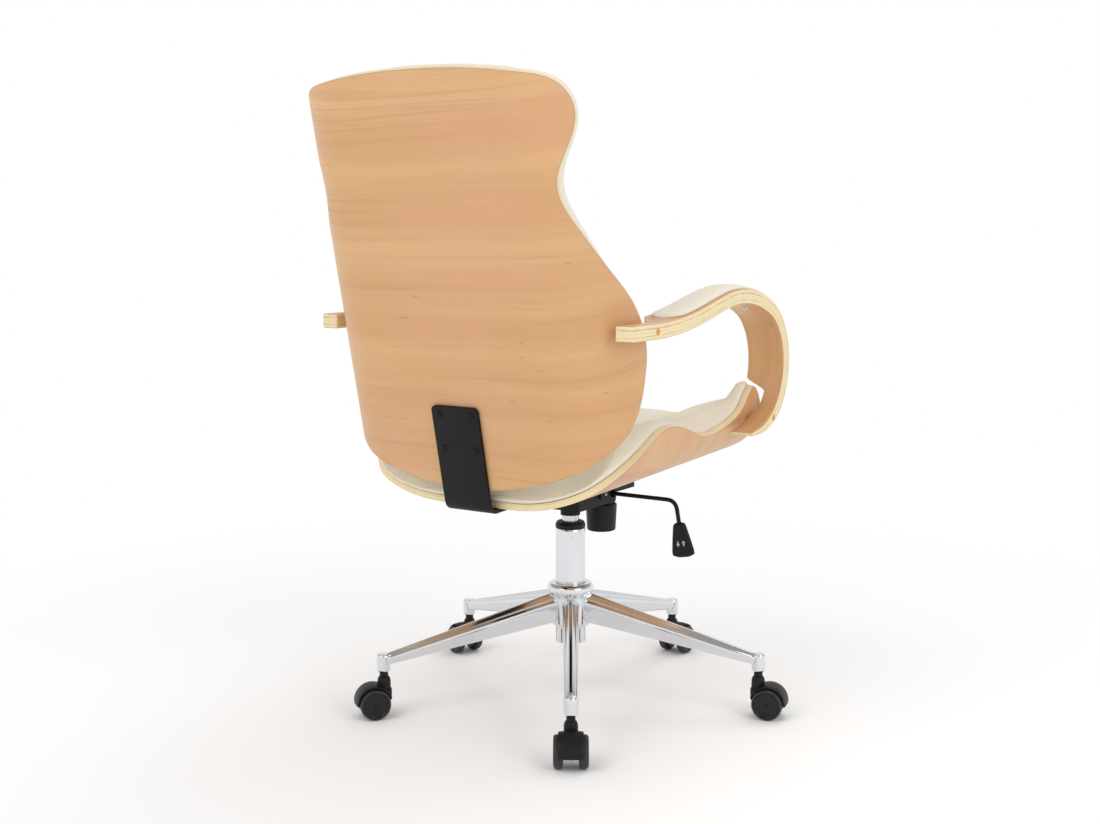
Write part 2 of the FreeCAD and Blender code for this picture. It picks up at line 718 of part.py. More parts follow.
def make_column():
    floor_top = dim.tube_bottom + dim.tube_floor
    tube_inside = dim.tube_radius - dim.tube_wall
    rod_hole = dim.rod_radius + dim.run_gap
    turned("column_tube", [
        (rod_hole, dim.tube_bottom), (dim.tube_radius, dim.tube_bottom), (dim.tube_radius, dim.tube_top),
        (tube_inside, dim.tube_top), (tube_inside, floor_top), (rod_hole, floor_top),
    ])
    guide = dim.cylinder_radius + dim.run_gap
    sleeve = tube_inside - dim.press_gap
    bush_top = dim.tube_top + dim.bush_collar
    turned("column_bush", [
        (guide, bush_top - dim.bush_length), (sleeve, bush_top - dim.bush_length), (sleeve, dim.tube_top),
        (dim.tube_radius, dim.tube_top), (dim.tube_radius, bush_top - dim.tube_wall),
        (dim.tube_radius - dim.tube_wall, bush_top), (guide, bush_top),
    ])
    bearing_top = floor_top + dim.bearing_height
    turned("thrust_bearing", [
        (rod_hole, floor_top), (dim.bearing_radius, floor_top),
        (dim.bearing_radius, bearing_top), (rod_hole, bearing_top),
    ])
    piston = dim.cylinder_radius - dim.cylinder_wall - dim.run_gap
    shoulder = bearing_top + dim.run_gap
    tail = dim.tube_bottom - dim.rod_tail
    head = dim.piston_top - dim.piston_height
    turned("piston_rod", [
        (ZERO, tail), (dim.rod_radius, tail), (dim.rod_radius, shoulder),
        (dim.rod_collar_radius, shoulder), (dim.rod_collar_radius, shoulder + dim.clip_height),
        (dim.rod_radius, shoulder + dim.clip_height), (dim.rod_radius, head), (piston, head),
        (piston, dim.piston_top), (ZERO, dim.piston_top),
    ])
    clip_top = dim.tube_bottom - dim.seat_gap
    clip_bore = dim.rod_radius + dim.press_gap
    turned("retaining_clip", [
        (clip_bore, clip_top - dim.clip_height), (dim.clip_radius, clip_top - dim.clip_height),
        (dim.clip_radius, clip_top), (clip_bore, clip_top),
    ])
    inside = dim.cylinder_radius - dim.cylinder_wall
    gland = dim.cylinder_bottom + dim.cylinder_cap / 2
    cap = dim.cylinder_top - dim.cylinder_cap
    pin_hole = dim.pin_radius + dim.run_gap
    turned("gas_cylinder", [
        (rod_hole, dim.cylinder_bottom), (dim.cylinder_radius, dim.cylinder_bottom),
        (dim.cylinder_radius, dim.cylinder_top), (pin_hole, dim.cylinder_top),
        (pin_hole, cap), (inside, cap), (inside, gland), (rod_hole, gland),
    ])
    pin = doc.addObject("Part::Cylinder", "release_pin")
    bind(pin, Radius=dim.pin_radius, Height=dim.pin_length)
    move_to(pin, z=dim.cylinder_top + dim.pin_proud - dim.pin_length)
    piece(pin, "release_pin")


# Tilt mechanism


def make_housing():
    body = new_body("mechanism_housing")
    low, top, wall = dim.housing_bottom, dim.housing_top, dim.housing_wall
    raised = low + dim.step_height
    slope = dim.step_height / 4
    rear, front, step = -dim.housing_rear, dim.housing_front, dim.housing_step
    outer = [(rear, low), (step, low), (step + slope, raised), (front, raised), (front, top),
             (ZERO, top), (rear, top - dim.rear_slope)]
    pad(body, sketch_on(body, "YZ_Plane", [outer]), dim.housing_half * 2, middle=True)
    clear = top + wall
    inner = [(rear + wall, low + wall), (step - wall / 2, low + wall),
             (step + slope - wall / 2, raised + wall), (front - wall, raised + wall),
             (front - wall, clear), (rear + wall, clear)]
    pocket(body, sketch_on(body, "YZ_Plane", [inner]), (dim.housing_half - wall) * 2, middle=True)
    bore = dim.cylinder_radius + dim.press_gap
    straight = dim.collar_bottom + dim.collar_height
    socket = [(bore, dim.collar_bottom), (dim.collar_radius, dim.collar_bottom), (dim.collar_radius, straight),
              (dim.flare_radius, low), (dim.flare_radius, low + wall), (bore, low + wall)]
    outline = sketch_on(body, "XZ_Plane", [socket])
    collar = feature(body, "Revolution", outline)
    collar.ReferenceAxis = (outline, ["V_Axis"])
    collar.Angle = 360
    through = sketch_on(body, "XY_Plane", circles=[(ZERO, ZERO, bore)], offset=(ZERO, ZERO, low - wall))
    pocket(body, through, wall * 4, reverse=True)
    swing = sketch_on(body, "XY_Plane", circles=[(ZERO, dim.bolt_forward + wall / 2, dim.bolt_hole_radius)],
                      offset=(ZERO, ZERO, raised - wall))
    pocket(body, swing, wall * 4, reverse=True)
    pin = sketch_on(body, "YZ_Plane",
                    circles=[(dim.pivot_forward, dim.pivot_height, dim.pivot_radius + dim.press_gap)])
    pocket(body, pin, dim.housing_half * 4, middle=True)
    slot = sketch_on(body, "YZ_Plane", circles=[(dim.lever_forward, dim.lever_height, dim.lever_radius * 2)],
                     offset=(ZERO, ZERO, dim.housing_half - wall * 2))
    pocket(body, slot, wall * 4, reverse=True)


def make_tilt_pin():
    pin = doc.addObject("Part::Cylinder", "tilt_pivot_pin")
    half = dim.housing_half + dim.side_gap * 2 + dim.plate_wall * 2
    bind(pin, Radius=dim.pivot_radius, Height=half * 2)
    move_to(pin, -half, dim.pivot_forward, dim.pivot_height, Rotation(Vector(0, 1, 0), 90))
    piece(pin, "tilt_pivot_pin")


def seat_place():
    """The seat's frame: over the column, pitched up towards the front."""
    return Placement(Vector(0, 0, val.seat_under), Rotation(Vector(1, 0, 0), val.seat_pitch))


def seat_point(y, z):
    """A point of the middle plane given in the seat's frame."""
    return seat_place().multVec(Vector(0, y, z))


def in_seat(point):
    return seat_place().inverse().multVec(point)


def make_seat_plate():
    body = new_body("seat_plate")
    plate = [(-dim.plate_half, -dim.plate_rear), (dim.plate_half, -dim.plate_rear),
             (dim.plate_half, dim.plate_front), (-dim.plate_half, dim.plate_front)]
    pad(body, sketch_on(body, "XY_Plane", [plate]), dim.plate_wall, reverse=True)
    pivot = in_seat(Vector(0, val.pivot_forward, val.pivot_height))
    ear_low = pivot.z - val.ear_drop
    ear = [(pivot.y - val.ear_half, -val.plate_wall), (pivot.y - val.ear_half * 0.6, ear_low),
           (pivot.y + val.ear_half * 0.6, ear_low), (pivot.y + val.ear_half, -val.plate_wall)]
    inside = dim.housing_half + dim.side_gap * 2
    for offset, flip in ((inside, False), (-inside, True)):
        ear_outline = sketch_on(body, "YZ_Plane", [ear], offset=(ZERO, ZERO, offset))
        pad(body, ear_outline, dim.plate_wall, reverse=flip)
    hole = sketch_on(body, "YZ_Plane", circles=[(pivot.y, pivot.z, dim.pivot_radius + dim.run_gap)])
    pocket(body, hole, dim.plate_half * 4, middle=True)
    bolts = [(dim.seat_bolt_side * side, y, dim.bolt_shank + dim.press_gap)
             for side in (1, -1) for y in (-dim.seat_bolt_rear, dim.seat_bolt_front)]
    pocket(body, sketch_on(body, "XY_Plane", circles=bolts), dim.plate_wall * 2)
    body.Placement = seat_place()


def make_tension():
    plate_low = seat_point(val.bolt_forward, -val.plate_wall).z
    lean = val.bolt_radius * math.tan(math.radians(val.seat_pitch))
    here = Vector(0, val.bolt_forward, val.bolt_end)
    bolt = rod_along(here, Vector(0, 0, 1), val.bolt_radius, plate_low - lean - val.bolt_end)
    solid_piece("tension_bolt", bolt)
    rim = dim.knob_radius
    foot = rim - dim.knob_taper
    floor = dim.knob_bottom + dim.knob_floor
    thread = dim.bolt_radius + dim.run_gap
    blind = floor - dim.knob_bore_depth
    bevel = dim.knob_wall / 2
    knob = turned("tension_knob", [
        (ZERO, dim.knob_bottom), (foot - bevel, dim.knob_bottom), (foot, dim.knob_bottom + bevel),
        (rim, dim.knob_top), (rim - dim.knob_wall, dim.knob_top), (foot - dim.knob_wall, floor),
        (thread, floor), (thread, blind), (ZERO, blind),
    ])
    move_to(knob, y=dim.bolt_forward)
    washer_low = floor + dim.seat_gap
    washer_top = washer_low + dim.washer_height
    reach = dim.spring_radius + dim.spring_wire
    washer = turned("spring_washer", [
        (thread, washer_low), (reach, washer_low), (reach, washer_top), (thread, washer_top)])
    move_to(washer, y=dim.bolt_forward)
    low = washer_top.value + val.spring_wire + val.seat_gap
    high = val.housing_bottom + val.step_height - val.spring_wire - val.seat_gap
    solid_piece("tension_spring", coil(val.spring_radius, low, high, val.spring_turns, val.spring_wire),
                Placement(Vector(0, val.bolt_forward, 0), Rotation()))


def biarc(start, start_heading, end, end_heading):
    """Two arcs that leave one point along a heading and reach another along its heading."""
    span = end - start
    both = start_heading + end_heading
    bend = 2 * (1 - start_heading.dot(end_heading))
    along = span.dot(both)
    reach = (math.sqrt(along * along + bend * span.dot(span)) - along) / bend
    joint = (start + start_heading * reach + end - end_heading * reach) * 0.5
    arcs = []
    for one, corner, two in ((start, start + start_heading * reach, joint),
                             (joint, end - end_heading * reach, end)):
        middle = (one + two) * 0.5
        half = 0.5 * one.distanceToPoint(two)
        rise = half * math.tan(0.5 * math.acos(half / reach))
        arcs.append(Part.Arc(one, middle + (corner - middle).normalize() * rise, two).toShape())
    return arcs


def coil(radius, low, high, turns, wire):
    """A round-wire coil about Z on a chain of quarter-turn biarcs."""
    quarters = int(round(turns * 4))
    climb = (high - low) / (2 * math.pi * turns)

    def point(quarter):
        angle = 0.5 * math.pi * quarter
        return Vector(radius * math.cos(angle), radius * math.sin(angle), low + climb * angle)

    def heading(quarter):
        angle = 0.5 * math.pi * quarter
        return Vector(-radius * math.sin(angle), radius * math.cos(angle), climb).normalize()

    edges = []
    for step in range(quarters):
        edges += biarc(point(step), heading(step), point(step + 1), heading(step + 1))
    marks = [(index, mark) for index, edge in enumerate(edges) for mark in edge.discretize(5)]
    gap = min(one.distanceToPoint(two) for index, one in marks for other, two in marks
              if other - index >= 5) - 2 * wire
    print(f"tension spring: least gap between its turns {gap:.2f} mm")
    circle = Part.Wire(Part.makeCircle(wire, point(0), heading(0)))
    return Part.Wire(edges).makePipeShell([circle], True, False)


def make_lever():
    side, forward, height = val.lever_pivot_side, val.lever_forward, val.lever_height
    above = val.cylinder_top + val.pin_proud + val.seat_gap + val.lever_radius
    drop = Vector(val.lever_lean, 0, -val.lever_drop)
    points = [
        Vector(-val.finger_side, -val.finger_rear, above),
        Vector(-val.finger_side, val.finger_front, above),
        Vector(-val.finger_side, forward, height),
        Vector(val.lever_reach, forward, height),
        Vector(val.lever_reach, forward, height) + drop,
    ]
    rod = tube_along(rounded_wire(points, val.lever_bend), points[0], Vector(0, 1, 0), val.lever_radius)
    pivot = Vector(side, forward - 2 * val.lever_radius, height)
    hole = rod_along(pivot, Vector(0, 1, 0), val.lever_pin_radius + val.run_gap, 4 * val.lever_radius)
    solid_piece("lever_rod", rod.cut(hole))
    make_paddle(points[-1], drop)
    make_lock_slider(side, forward, height)


def make_paddle(rod_end, drop):
    """A flat grip that widens towards its foot, moulded round the rod's end."""
    along = Vector(drop).normalize()
    top = rod_end - along * val.paddle_socket
    turn = Rotation(Vector(0, 0, -1), along)

    def section(distance, width, depth):
        half, thick, corner = width / 2, depth / 2, depth / 4
        points = [(-half + corner, -thick), (half - corner, -thick), (half, -thick + corner),
                  (half, thick - corner), (half - corner, thick), (-half + corner, thick),
                  (-half, thick - corner), (-half, -thick + corner), (-half + corner, -thick)]
        return Part.makePolygon([Vector(x, y, -distance) for x, y in points])

    length = val.paddle_length
    grip = Part.makeLoft([
        section(0, val.paddle_top_width, val.paddle_top_depth),
        section(length * 0.86, val.paddle_low_width, val.paddle_low_depth),
        section(length, val.paddle_low_width * 0.72, val.paddle_low_depth * 0.7),
    ], True, True)
    socket = Part.makeCylinder(val.lever_radius + val.press_gap, val.paddle_socket,
                               Vector(), Vector(0, 0, -1))
    solid_piece("lever_paddle", grip.cut(socket), Placement(top, turn))


def make_lock_slider(side, forward, height):
    """A fork that carries the lever and slides on the housing's floor."""
    inside = val.lever_radius + val.side_gap
    outside = inside + val.fork_cheek
    low = val.housing_bottom + val.housing_wall + val.seat_gap
    length = 2 * val.fork_half
    block = Part.makeBox(length, 2 * outside, val.fork_height,
                         Vector(side - val.fork_half, forward - outside, low))
    gap = Part.makeBox(length, 2 * inside, val.fork_height,
                       Vector(side - val.fork_half, forward - inside, low + val.fork_floor))
    across = Vector(0, 1, 0)
    start = Vector(side, forward - outside, height)
    hole = rod_along(start, across, val.lever_pin_radius + val.press_gap, 2 * outside)
    solid_piece("lock_slider", block.cut(gap).cut(hole))
    pin = doc.addObject("Part::Cylinder", "lever_pivot_pin")
    reach = (dim.lever_radius + dim.side_gap + dim.fork_cheek) * 2
    bind(pin, Radius=dim.lever_pin_radius, Height=reach)
    move_to(pin, dim.lever_pivot_side, dim.lever_forward - reach / 2, dim.lever_height,
            Rotation(Vector(1, 0, 0), -90))
    piece(pin, "lever_pivot_pin")

# Bent sheets: half a profile across, a run along it, and an outline of (across, along) points


def across_at(profile, height):
    """How far along a rising profile a height is reached."""
    low, high = 0.0, profile.length
    while high - low > 1e-6:
        middle = 0.5 * (low + high)
        low, high = (middle, high) if profile.at(middle)[0][1] < height else (low, middle)
    return low


def spread(outline, by):
    """An outline moved outwards; it runs from the middle of one end to the middle of the other."""
    moved = []
    last = len(outline) - 1
    for index, (across, along) in enumerate(outline):
        before, after = outline[max(index - 1, 0)], outline[min(index + 1, last)]
        right, up = after[0] - before[0], after[1] - before[1]
        if index in (0, last):
            up = 0.0
        size = math.hypot(right, up)
        moved.append((across + by * up / size, along - by * right / size))
    return moved


def rim_face(profile, rims, lift):
    """A smooth face through one outline drawn at several depths from a profile."""
    first = rims[0][0]
    steps = [0.0]
    for one, two in zip(first, first[1:]):
        steps.append(steps[-1] + math.dist(one, two))
    curves = []
    for outline, depth in rims:
        curve = Part.BSplineCurve()
        curve.interpolate(Points=[lift(*profile.at(across, depth)[0], along) for across, along in outline],
                          Parameters=steps)
        curves.append(Part.Wire(curve.toShape()))
    return Part.makeLoft(curves, False, len(curves) == 2)


def inside_of(solid, face, middle):
    """The piece of a solid, split by a face, that holds a point."""
    pieces = SplitAPI.slice(solid, [face], "Split").Solids
    return next(part for part in pieces if part.isInside(middle, 1e-3, True))


def whole(half):
    """A half and its mirror across the middle plane as one solid."""
    return half.fuse(half.mirror(Vector(), Vector(1, 0, 0))).removeSplitter()


def bent_sheet(profile, outline, lift):
    """Half a sheet of plywood, its edge cut square to its faces."""
    ply = val.ply_thickness
    first, last = outline[0][1] - ply, outline[-1][1] + ply
    face = profile.ribbon(0, profile.length, 0, ply, lambda x, depth: lift(x, depth, first))
    sheet_half = face.extrude(lift(0, 0, last) - lift(0, 0, first))
    rims = [(outline, -ply), (outline, 2 * ply)]
    return inside_of(sheet_half, rim_face(profile, rims, lift), lift(1, 0.5 * ply, 0))


def bent_cushion(profile, outline, lift, top, height, rounding):
    """Half a cushion on a sheet: its rim swells past the plywood and rolls over onto a crown."""
    base = val.ply_thickness + val.seat_gap
    proud = val.pad_proud
    first, last = outline[0][1] - 3 * proud, outline[-1][1] + 3 * proud

    def at_first(x, depth):
        return lift(x, depth, first)

    ends = [(at_first(*profile.at(far, base)[0]), at_first(*top.at(near)[0]))
            for far, near in ((0, 0), (profile.length, top.length))]
    edges = profile.edges(0, profile.length, base, at_first) + top.edges(0, top.length, 0, at_first)
    edges += [Part.LineSegment(*pair).toShape() for pair in ends]
    face = Part.Face(Part.Wire(Part.__sortEdges__(edges)))
    block = face.extrude(lift(0, 0, last) - lift(0, 0, first))
    thick = height - base
    rims = [
        (spread(outline, 0), base - proud),
        (spread(outline, 0.6 * proud), base + 0.12 * thick),
        (spread(outline, proud), base + 0.35 * thick),
        (spread(outline, 0.6 * proud), base + 0.6 * thick),
        (spread(outline, -0.35 * rounding), base + 0.85 * thick),
        (spread(outline, -rounding), base + thick),
        (spread(outline, -2 * rounding), base + 1.2 * thick),
    ]
    return inside_of(block, rim_face(profile, rims, lift), lift(1, 0.5 * (base + height), 0))


def cushion_top(profile_arc, height, crown, beyond):
    """The cushion's face: a crown across the middle, then a roll that follows the side's bend."""
    (centre, middle_height), turn = profile_arc
    fall = centre * math.tan(0.5 * math.radians(crown))
    radius = middle_height - height + fall
    return Path((0, height), 0, [
        (centre / math.cos(0.5 * math.radians(crown)), -crown),
        (arc_length(radius, turn + crown), turn + crown), (beyond, 0)])


# Seat, in the seat's frame: x across, y forward, z up from the shell's underside


def seat_profile():
    """Half of the shell's outer line, from the middle out: a flat, a gentle curve, a tight side."""
    belly = arc_length(val.seat_belly_radius, val.seat_belly_angle)
    turn = val.seat_side_angle - val.seat_belly_angle
    side = arc_length(val.seat_side_radius, turn)
    wall = val.lobe_height - val.dip_height
    return Path((0, 0), 0, [(val.seat_flat_half, 0), (belly, val.seat_belly_angle), (side, turn), (wall, 0)])


def seat_side_arc():
    """Centre of the tight side's bend, and the slope where it ends."""
    slope = math.radians(val.seat_belly_angle)
    (x, z), _ = seat_profile().at(val.seat_flat_half + arc_length(val.seat_belly_radius, val.seat_belly_angle))
    centre = (x - val.seat_side_radius * math.sin(slope), z + val.seat_side_radius * math.cos(slope))
    return centre, val.seat_side_angle


def seat_outline():
    """Rear edge, rear corner, wavy side and front edge as (across, along) points."""
    profile = seat_profile()
    flat = val.seat_flat_half
    side = [
        (val.rear_corner_height, -val.rear_corner_place),
        (val.rear_rise_height, -val.rear_rise_place),
        (val.rear_wave_height, -val.rear_wave_place - val.wave_half),
        (val.rear_wave_height, -val.rear_wave_place + val.wave_half),
        (0.5 * (val.rear_wave_height + val.dip_height), -val.rear_fall_place),
        (val.dip_height, val.dip_place - val.wave_half),
        (val.dip_height + 0.05 * val.lobe_height, val.dip_place + 2 * val.wave_half),
        (0.5 * (val.dip_height + val.lobe_height), val.lobe_rise_place),
        (val.lobe_height, val.lobe_place),
        (val.lobe_front_height, val.lobe_front_place),
        (val.front_corner_height, val.front_corner_place),
    ]
    rear, front = -val.seat_rear, val.seat_front
    return ([(-val.ply_thickness, rear), (flat, rear), (2 * flat, rear + 0.02 * flat)]
            + [(across_at(profile, height), along) for height, along in side]
            + [(2 * flat, front + 0.02 * flat), (flat, front), (-val.ply_thickness, front)])


def seat_lift(x, z, y):
    return Vector(x, y, z)


def seat_bolt_places():
    return [(side * val.seat_bolt_side, along) for side in (1, -1)
            for along in (-val.seat_bolt_rear, val.seat_bolt_front)]


def bracket_bolt_places():
    return [(side * val.bracket_bolt_side, -val.bracket_bolt_place) for side in (1, -1)]


def make_seat():
    shell = whole(bent_sheet(seat_profile(), seat_outline(), seat_lift))
    hole = val.bolt_shank + val.press_gap
    for x, y in seat_bolt_places() + bracket_bolt_places():
        shell = shell.cut(rod_along(Vector(x, y, -hole), Vector(0, 0, 1), hole, bolt_reach() + hole))
    to_seat = seat_place().inverse().toMatrix()
    for tool in arm_screw_rods(low_screw_point(), val.low_screw_end, val.arm_screw_radius + val.press_gap):
        shell = shell.cut(tool.transformed(to_seat))
    solid_piece("seat_shell", shell, seat_place())

    height = val.seat_pad_height
    top = cushion_top(seat_side_arc(), height, val.seat_crown, val.lobe_height)
    half = bent_cushion(seat_profile(), seat_outline(), seat_lift, top, height, val.seat_pad_round)
    rear = -val.seat_rear - 2 * val.pad_proud
    lip, slope = val.rear_lip_height, val.rear_slope_length
    curve = [(rear, lip), (rear + 0.35 * slope, lip + 0.1 * height), (rear + 0.6 * slope, 0.62 * height),
             (rear + slope, height)]
    above = [(rear + slope, 3 * height), (rear, 3 * height)]
    slope_face = smooth_face(above, curve, lambda y, z: Vector(-val.arm_inner, y, z))
    scoop = slope_face.extrude(Vector(2 * val.arm_inner, 0, 0))
    within = Part.makeBox(2 * val.scoop_half, 2 * slope, 3 * height,
                          Vector(-val.scoop_half, rear - slope, 0))
    solid_piece("seat_cushion", whole(half).cut(scoop.common(within)), seat_place())


# Back, in the back's frame: x across, y towards the sitter, z up along the back


def back_place():
    lean = Rotation(Vector(1, 0, 0), val.back_recline)
    return Placement(Vector(0, -val.back_rear, val.back_datum), lean)


def back_profile():
    """Half of the shell's outer line from above: a nearly flat middle and a curled wing."""
    turn = val.back_wing_angle - val.back_middle_angle
    return Path((0, 0), 0, [
        (arc_length(val.back_middle_radius, val.back_middle_angle), val.back_middle_angle),
        (arc_length(val.back_wing_radius, turn), turn)])


def back_wing_arc():
    """Centre of the wing's bend, and the slope where it ends."""
    slope = math.radians(val.back_middle_angle)
    (x, depth), _ = back_profile().at(arc_length(val.back_middle_radius, val.back_middle_angle))
    centre = (x - val.back_wing_radius * math.sin(slope), depth + val.back_wing_radius * math.cos(slope))
    return centre, val.back_wing_angle


def back_outline():
    """Foot, lower wing, waist, shoulder and top edge as (across, along) points."""
    profile = back_profile()
    low, top = -val.back_bottom, val.back_top
    middle = arc_length(val.back_middle_radius, val.back_middle_angle)
    fall = val.low_wing_place - val.waist_place
    rise = val.shoulder_place - val.waist_place
    side = [
        (val.hip_depth, -val.hip_place),
        (0.66 * val.low_wing, -0.05 * val.low_wing_place),
        (0.94 * val.low_wing, 0.65 * val.low_wing_place),
        (val.low_wing, val.low_wing_place + 0.05 * fall),
        (0.86 * val.low_wing, val.low_wing_place - 0.25 * fall),
        (0.53 * val.low_wing, val.low_wing_place - 0.51 * fall),
        (0.3 * val.low_wing, val.low_wing_place - 0.75 * fall),
        (val.waist_depth, val.waist_place),
        (0.6 * val.shoulder_depth + 0.4 * val.waist_depth, val.waist_place + 0.55 * rise),
        (val.shoulder_depth, val.shoulder_place),
        (val.corner_depth, val.corner_place),
    ]
    return ([(-val.ply_thickness, low), (0.5 * middle, low + 0.2 * val.foot_rise),
             (0.95 * middle, low + val.foot_rise)]
            + [(across_at(profile, depth), along) for depth, along in side]
            + [(1.2 * middle, top - val.top_drop), (0.6 * middle, top - 0.2 * val.top_drop),
               (-val.ply_thickness, top)])


def back_lift(x, y, z):
    return Vector(x, y, z)


def back_screw_places():
    return [(side * val.screw_side, up) for side in (1, -1) for up in (val.screw_high, val.screw_low)]


def make_back():
    shell = whole(bent_sheet(back_profile(), back_outline(), back_lift))
    hole = val.screw_shank + val.press_gap
    for x, z in back_screw_places():
        shell = shell.cut(rod_along(Vector(x, -hole, z), Vector(0, 1, 0), hole, val.screw_length + hole))
    to_back = back_place().inverse().toMatrix()
    for tool in arm_screw_rods(rear_screw_point(), val.rear_screw_end, val.arm_screw_radius + val.press_gap):
        shell = shell.cut(tool.transformed(to_back))
    solid_piece("back_shell", shell, back_place())

    height = val.back_pad_height
    top = cushion_top(back_wing_arc(), height, val.back_crown, val.low_wing)
    half = bent_cushion(back_profile(), back_outline(), back_lift, top, height, val.back_pad_round)
    solid_piece("back_cushion", whole(half), back_place())


# Bracket and its fasteners


def bolt_reach():
    """How far the seat's bolts stand in its plywood."""
    return 0.85 * val.ply_thickness


def make_bracket():
    """A flat bar bent up from under the seat behind the back."""
    lean = math.radians(val.back_recline)
    pitch = math.radians(val.seat_pitch)
    start = seat_point(-val.bracket_forward, 0)
    end = back_place().multVec(Vector(0, 0, val.bracket_rise))
    heading = 180 + val.seat_pitch
    turn = 90 + val.back_recline - heading
    along = Vector(0, -math.cos(pitch), -math.sin(pitch))
    up = Vector(0, -math.sin(lean), math.cos(lean))
    across = end - start
    lower = (across.y * up.z - across.z * up.y) / (along.y * up.z - along.z * up.y)
    upper = (along.y * across.z - along.z * across.y) / (along.y * up.z - along.z * up.y)
    reach = val.bracket_bend * math.tan(0.5 * abs(math.radians(turn)))
    path = Path((start.y, start.z), heading, [
        (lower - reach, 0), (arc_length(val.bracket_bend, abs(turn)), turn), (upper - reach, 0)])
    face = path.ribbon(0, path.length, 0, val.bracket_wall,
                       lambda y, z: Vector(-val.bracket_half, y, z))
    bar = face.extrude(Vector(2 * val.bracket_half, 0, 0))
    ends = [edge for edge in bar.Edges if abs(edge.Length - val.bracket_wall) < 0.01]
    bar = bar.makeFillet(val.bracket_corner, ends)
    shank = val.screw_shank + val.press_gap
    for x, z in back_screw_places():
        tool = rod_along(Vector(x, -2 * val.bracket_wall, z), Vector(0, 1, 0), shank, 3 * val.bracket_wall)
        bar = bar.cut(tool.transformed(back_place().toMatrix()))
    shank = val.bolt_shank + val.press_gap
    for x, y in bracket_bolt_places():
        tool = rod_along(Vector(x, y, -2 * val.bracket_wall), Vector(0, 0, 1), shank, 3 * val.bracket_wall)
        bar = bar.cut(tool.transformed(seat_place().toMatrix()))
    solid_piece("back_bracket", bar)


def domed(radius, height):
    """A low dome standing below the origin, flat side up."""
    ball = (radius * radius + height * height) / (2 * height)
    dome = Part.makeSphere(ball, Vector(0, 0, ball - height))
    return dome.common(Part.makeCylinder(radius, height, Vector(0, 0, -height)))


def fastener(point, direction, shank, length, head, height):
    """A screw with its shank along a direction and a domed head behind it."""
    made = Part.makeCylinder(shank, length).fuse(domed(head, height)).removeSplitter()
    made.Placement = Placement(point, Rotation(Vector(0, 0, 1), direction))
    return made


def fastener_group(label, shapes, placement=Placement()):
    """Fasteners that belong together, as one sub-part."""
    parts = []
    for index, shape in enumerate(shapes, start=1):
        part = doc.addObject("Part::Feature", f"{label}_{index}")
        part.Shape = shape
        parts.append(part)
    group = doc.addObject("Part::Compound", label)
    group.Links = parts
    group.Placement = placement
    piece(group, label)


def make_fasteners():
    up, in_back = Vector(0, 0, 1), Vector(0, 1, 0)
    length = val.bracket_wall + val.screw_length - val.bolt_shank
    fastener_group("back_screws", [
        fastener(Vector(x, -val.bracket_wall, z), in_back, val.screw_shank, length,
                 val.screw_head, val.screw_dome) for x, z in back_screw_places()], back_place())
    for label, places, wall in (("bracket_bolts", bracket_bolt_places(), val.bracket_wall),
                                ("seat_bolts", seat_bolt_places(), val.plate_wall)):
        fastener_group(label, [
            fastener(Vector(x, y, -wall), up, val.bolt_shank, wall + bolt_reach() - val.side_gap,
                     val.bolt_head, val.bolt_head_height) for x, y in places], seat_place())


# Arms: a laminated strip bent in an upright plane, one on each side


def arm_path():
    """The middle of the strip as (forward, up), from the rear end round to the lower end."""
    slope, shoulder = val.arm_rise_angle, val.arm_shoulder_angle
    steep = val.arm_steep_angle
    return Path((-val.arm_rear, val.arm_height), 0, [
        (val.arm_straight, 0),
        (arc_length(val.arm_rise_radius, slope), slope),
        (val.arm_slope_length, 0),
        (arc_length(val.arm_crown_radius, slope + shoulder), -slope - shoulder),
        (arc_length(val.arm_front_radius, steep - shoulder), shoulder - steep),
        (arc_length(val.arm_lower_radius, val.arm_end_angle - steep), steep - val.arm_end_angle),
        (val.arm_end_length, 0)])


def rear_screw_point():
    (forward, up), _ = arm_path().at(val.arm_rear - val.rear_screw_place)
    return forward, up


def low_screw_point():
    path = arm_path()
    (forward, up), _ = path.at(path.length - val.low_screw_along)
    return forward, up


def arm_screw_rods(point, end, radius):
    """Rods through both arms at a point, from under the plugs to an end in the plywood."""
    outer = val.arm_inner + val.arm_narrow - val.plug_depth
    rod = rod_along(Vector(end, *point), Vector(1, 0, 0), radius, outer - end)
    return both_sides(rod)


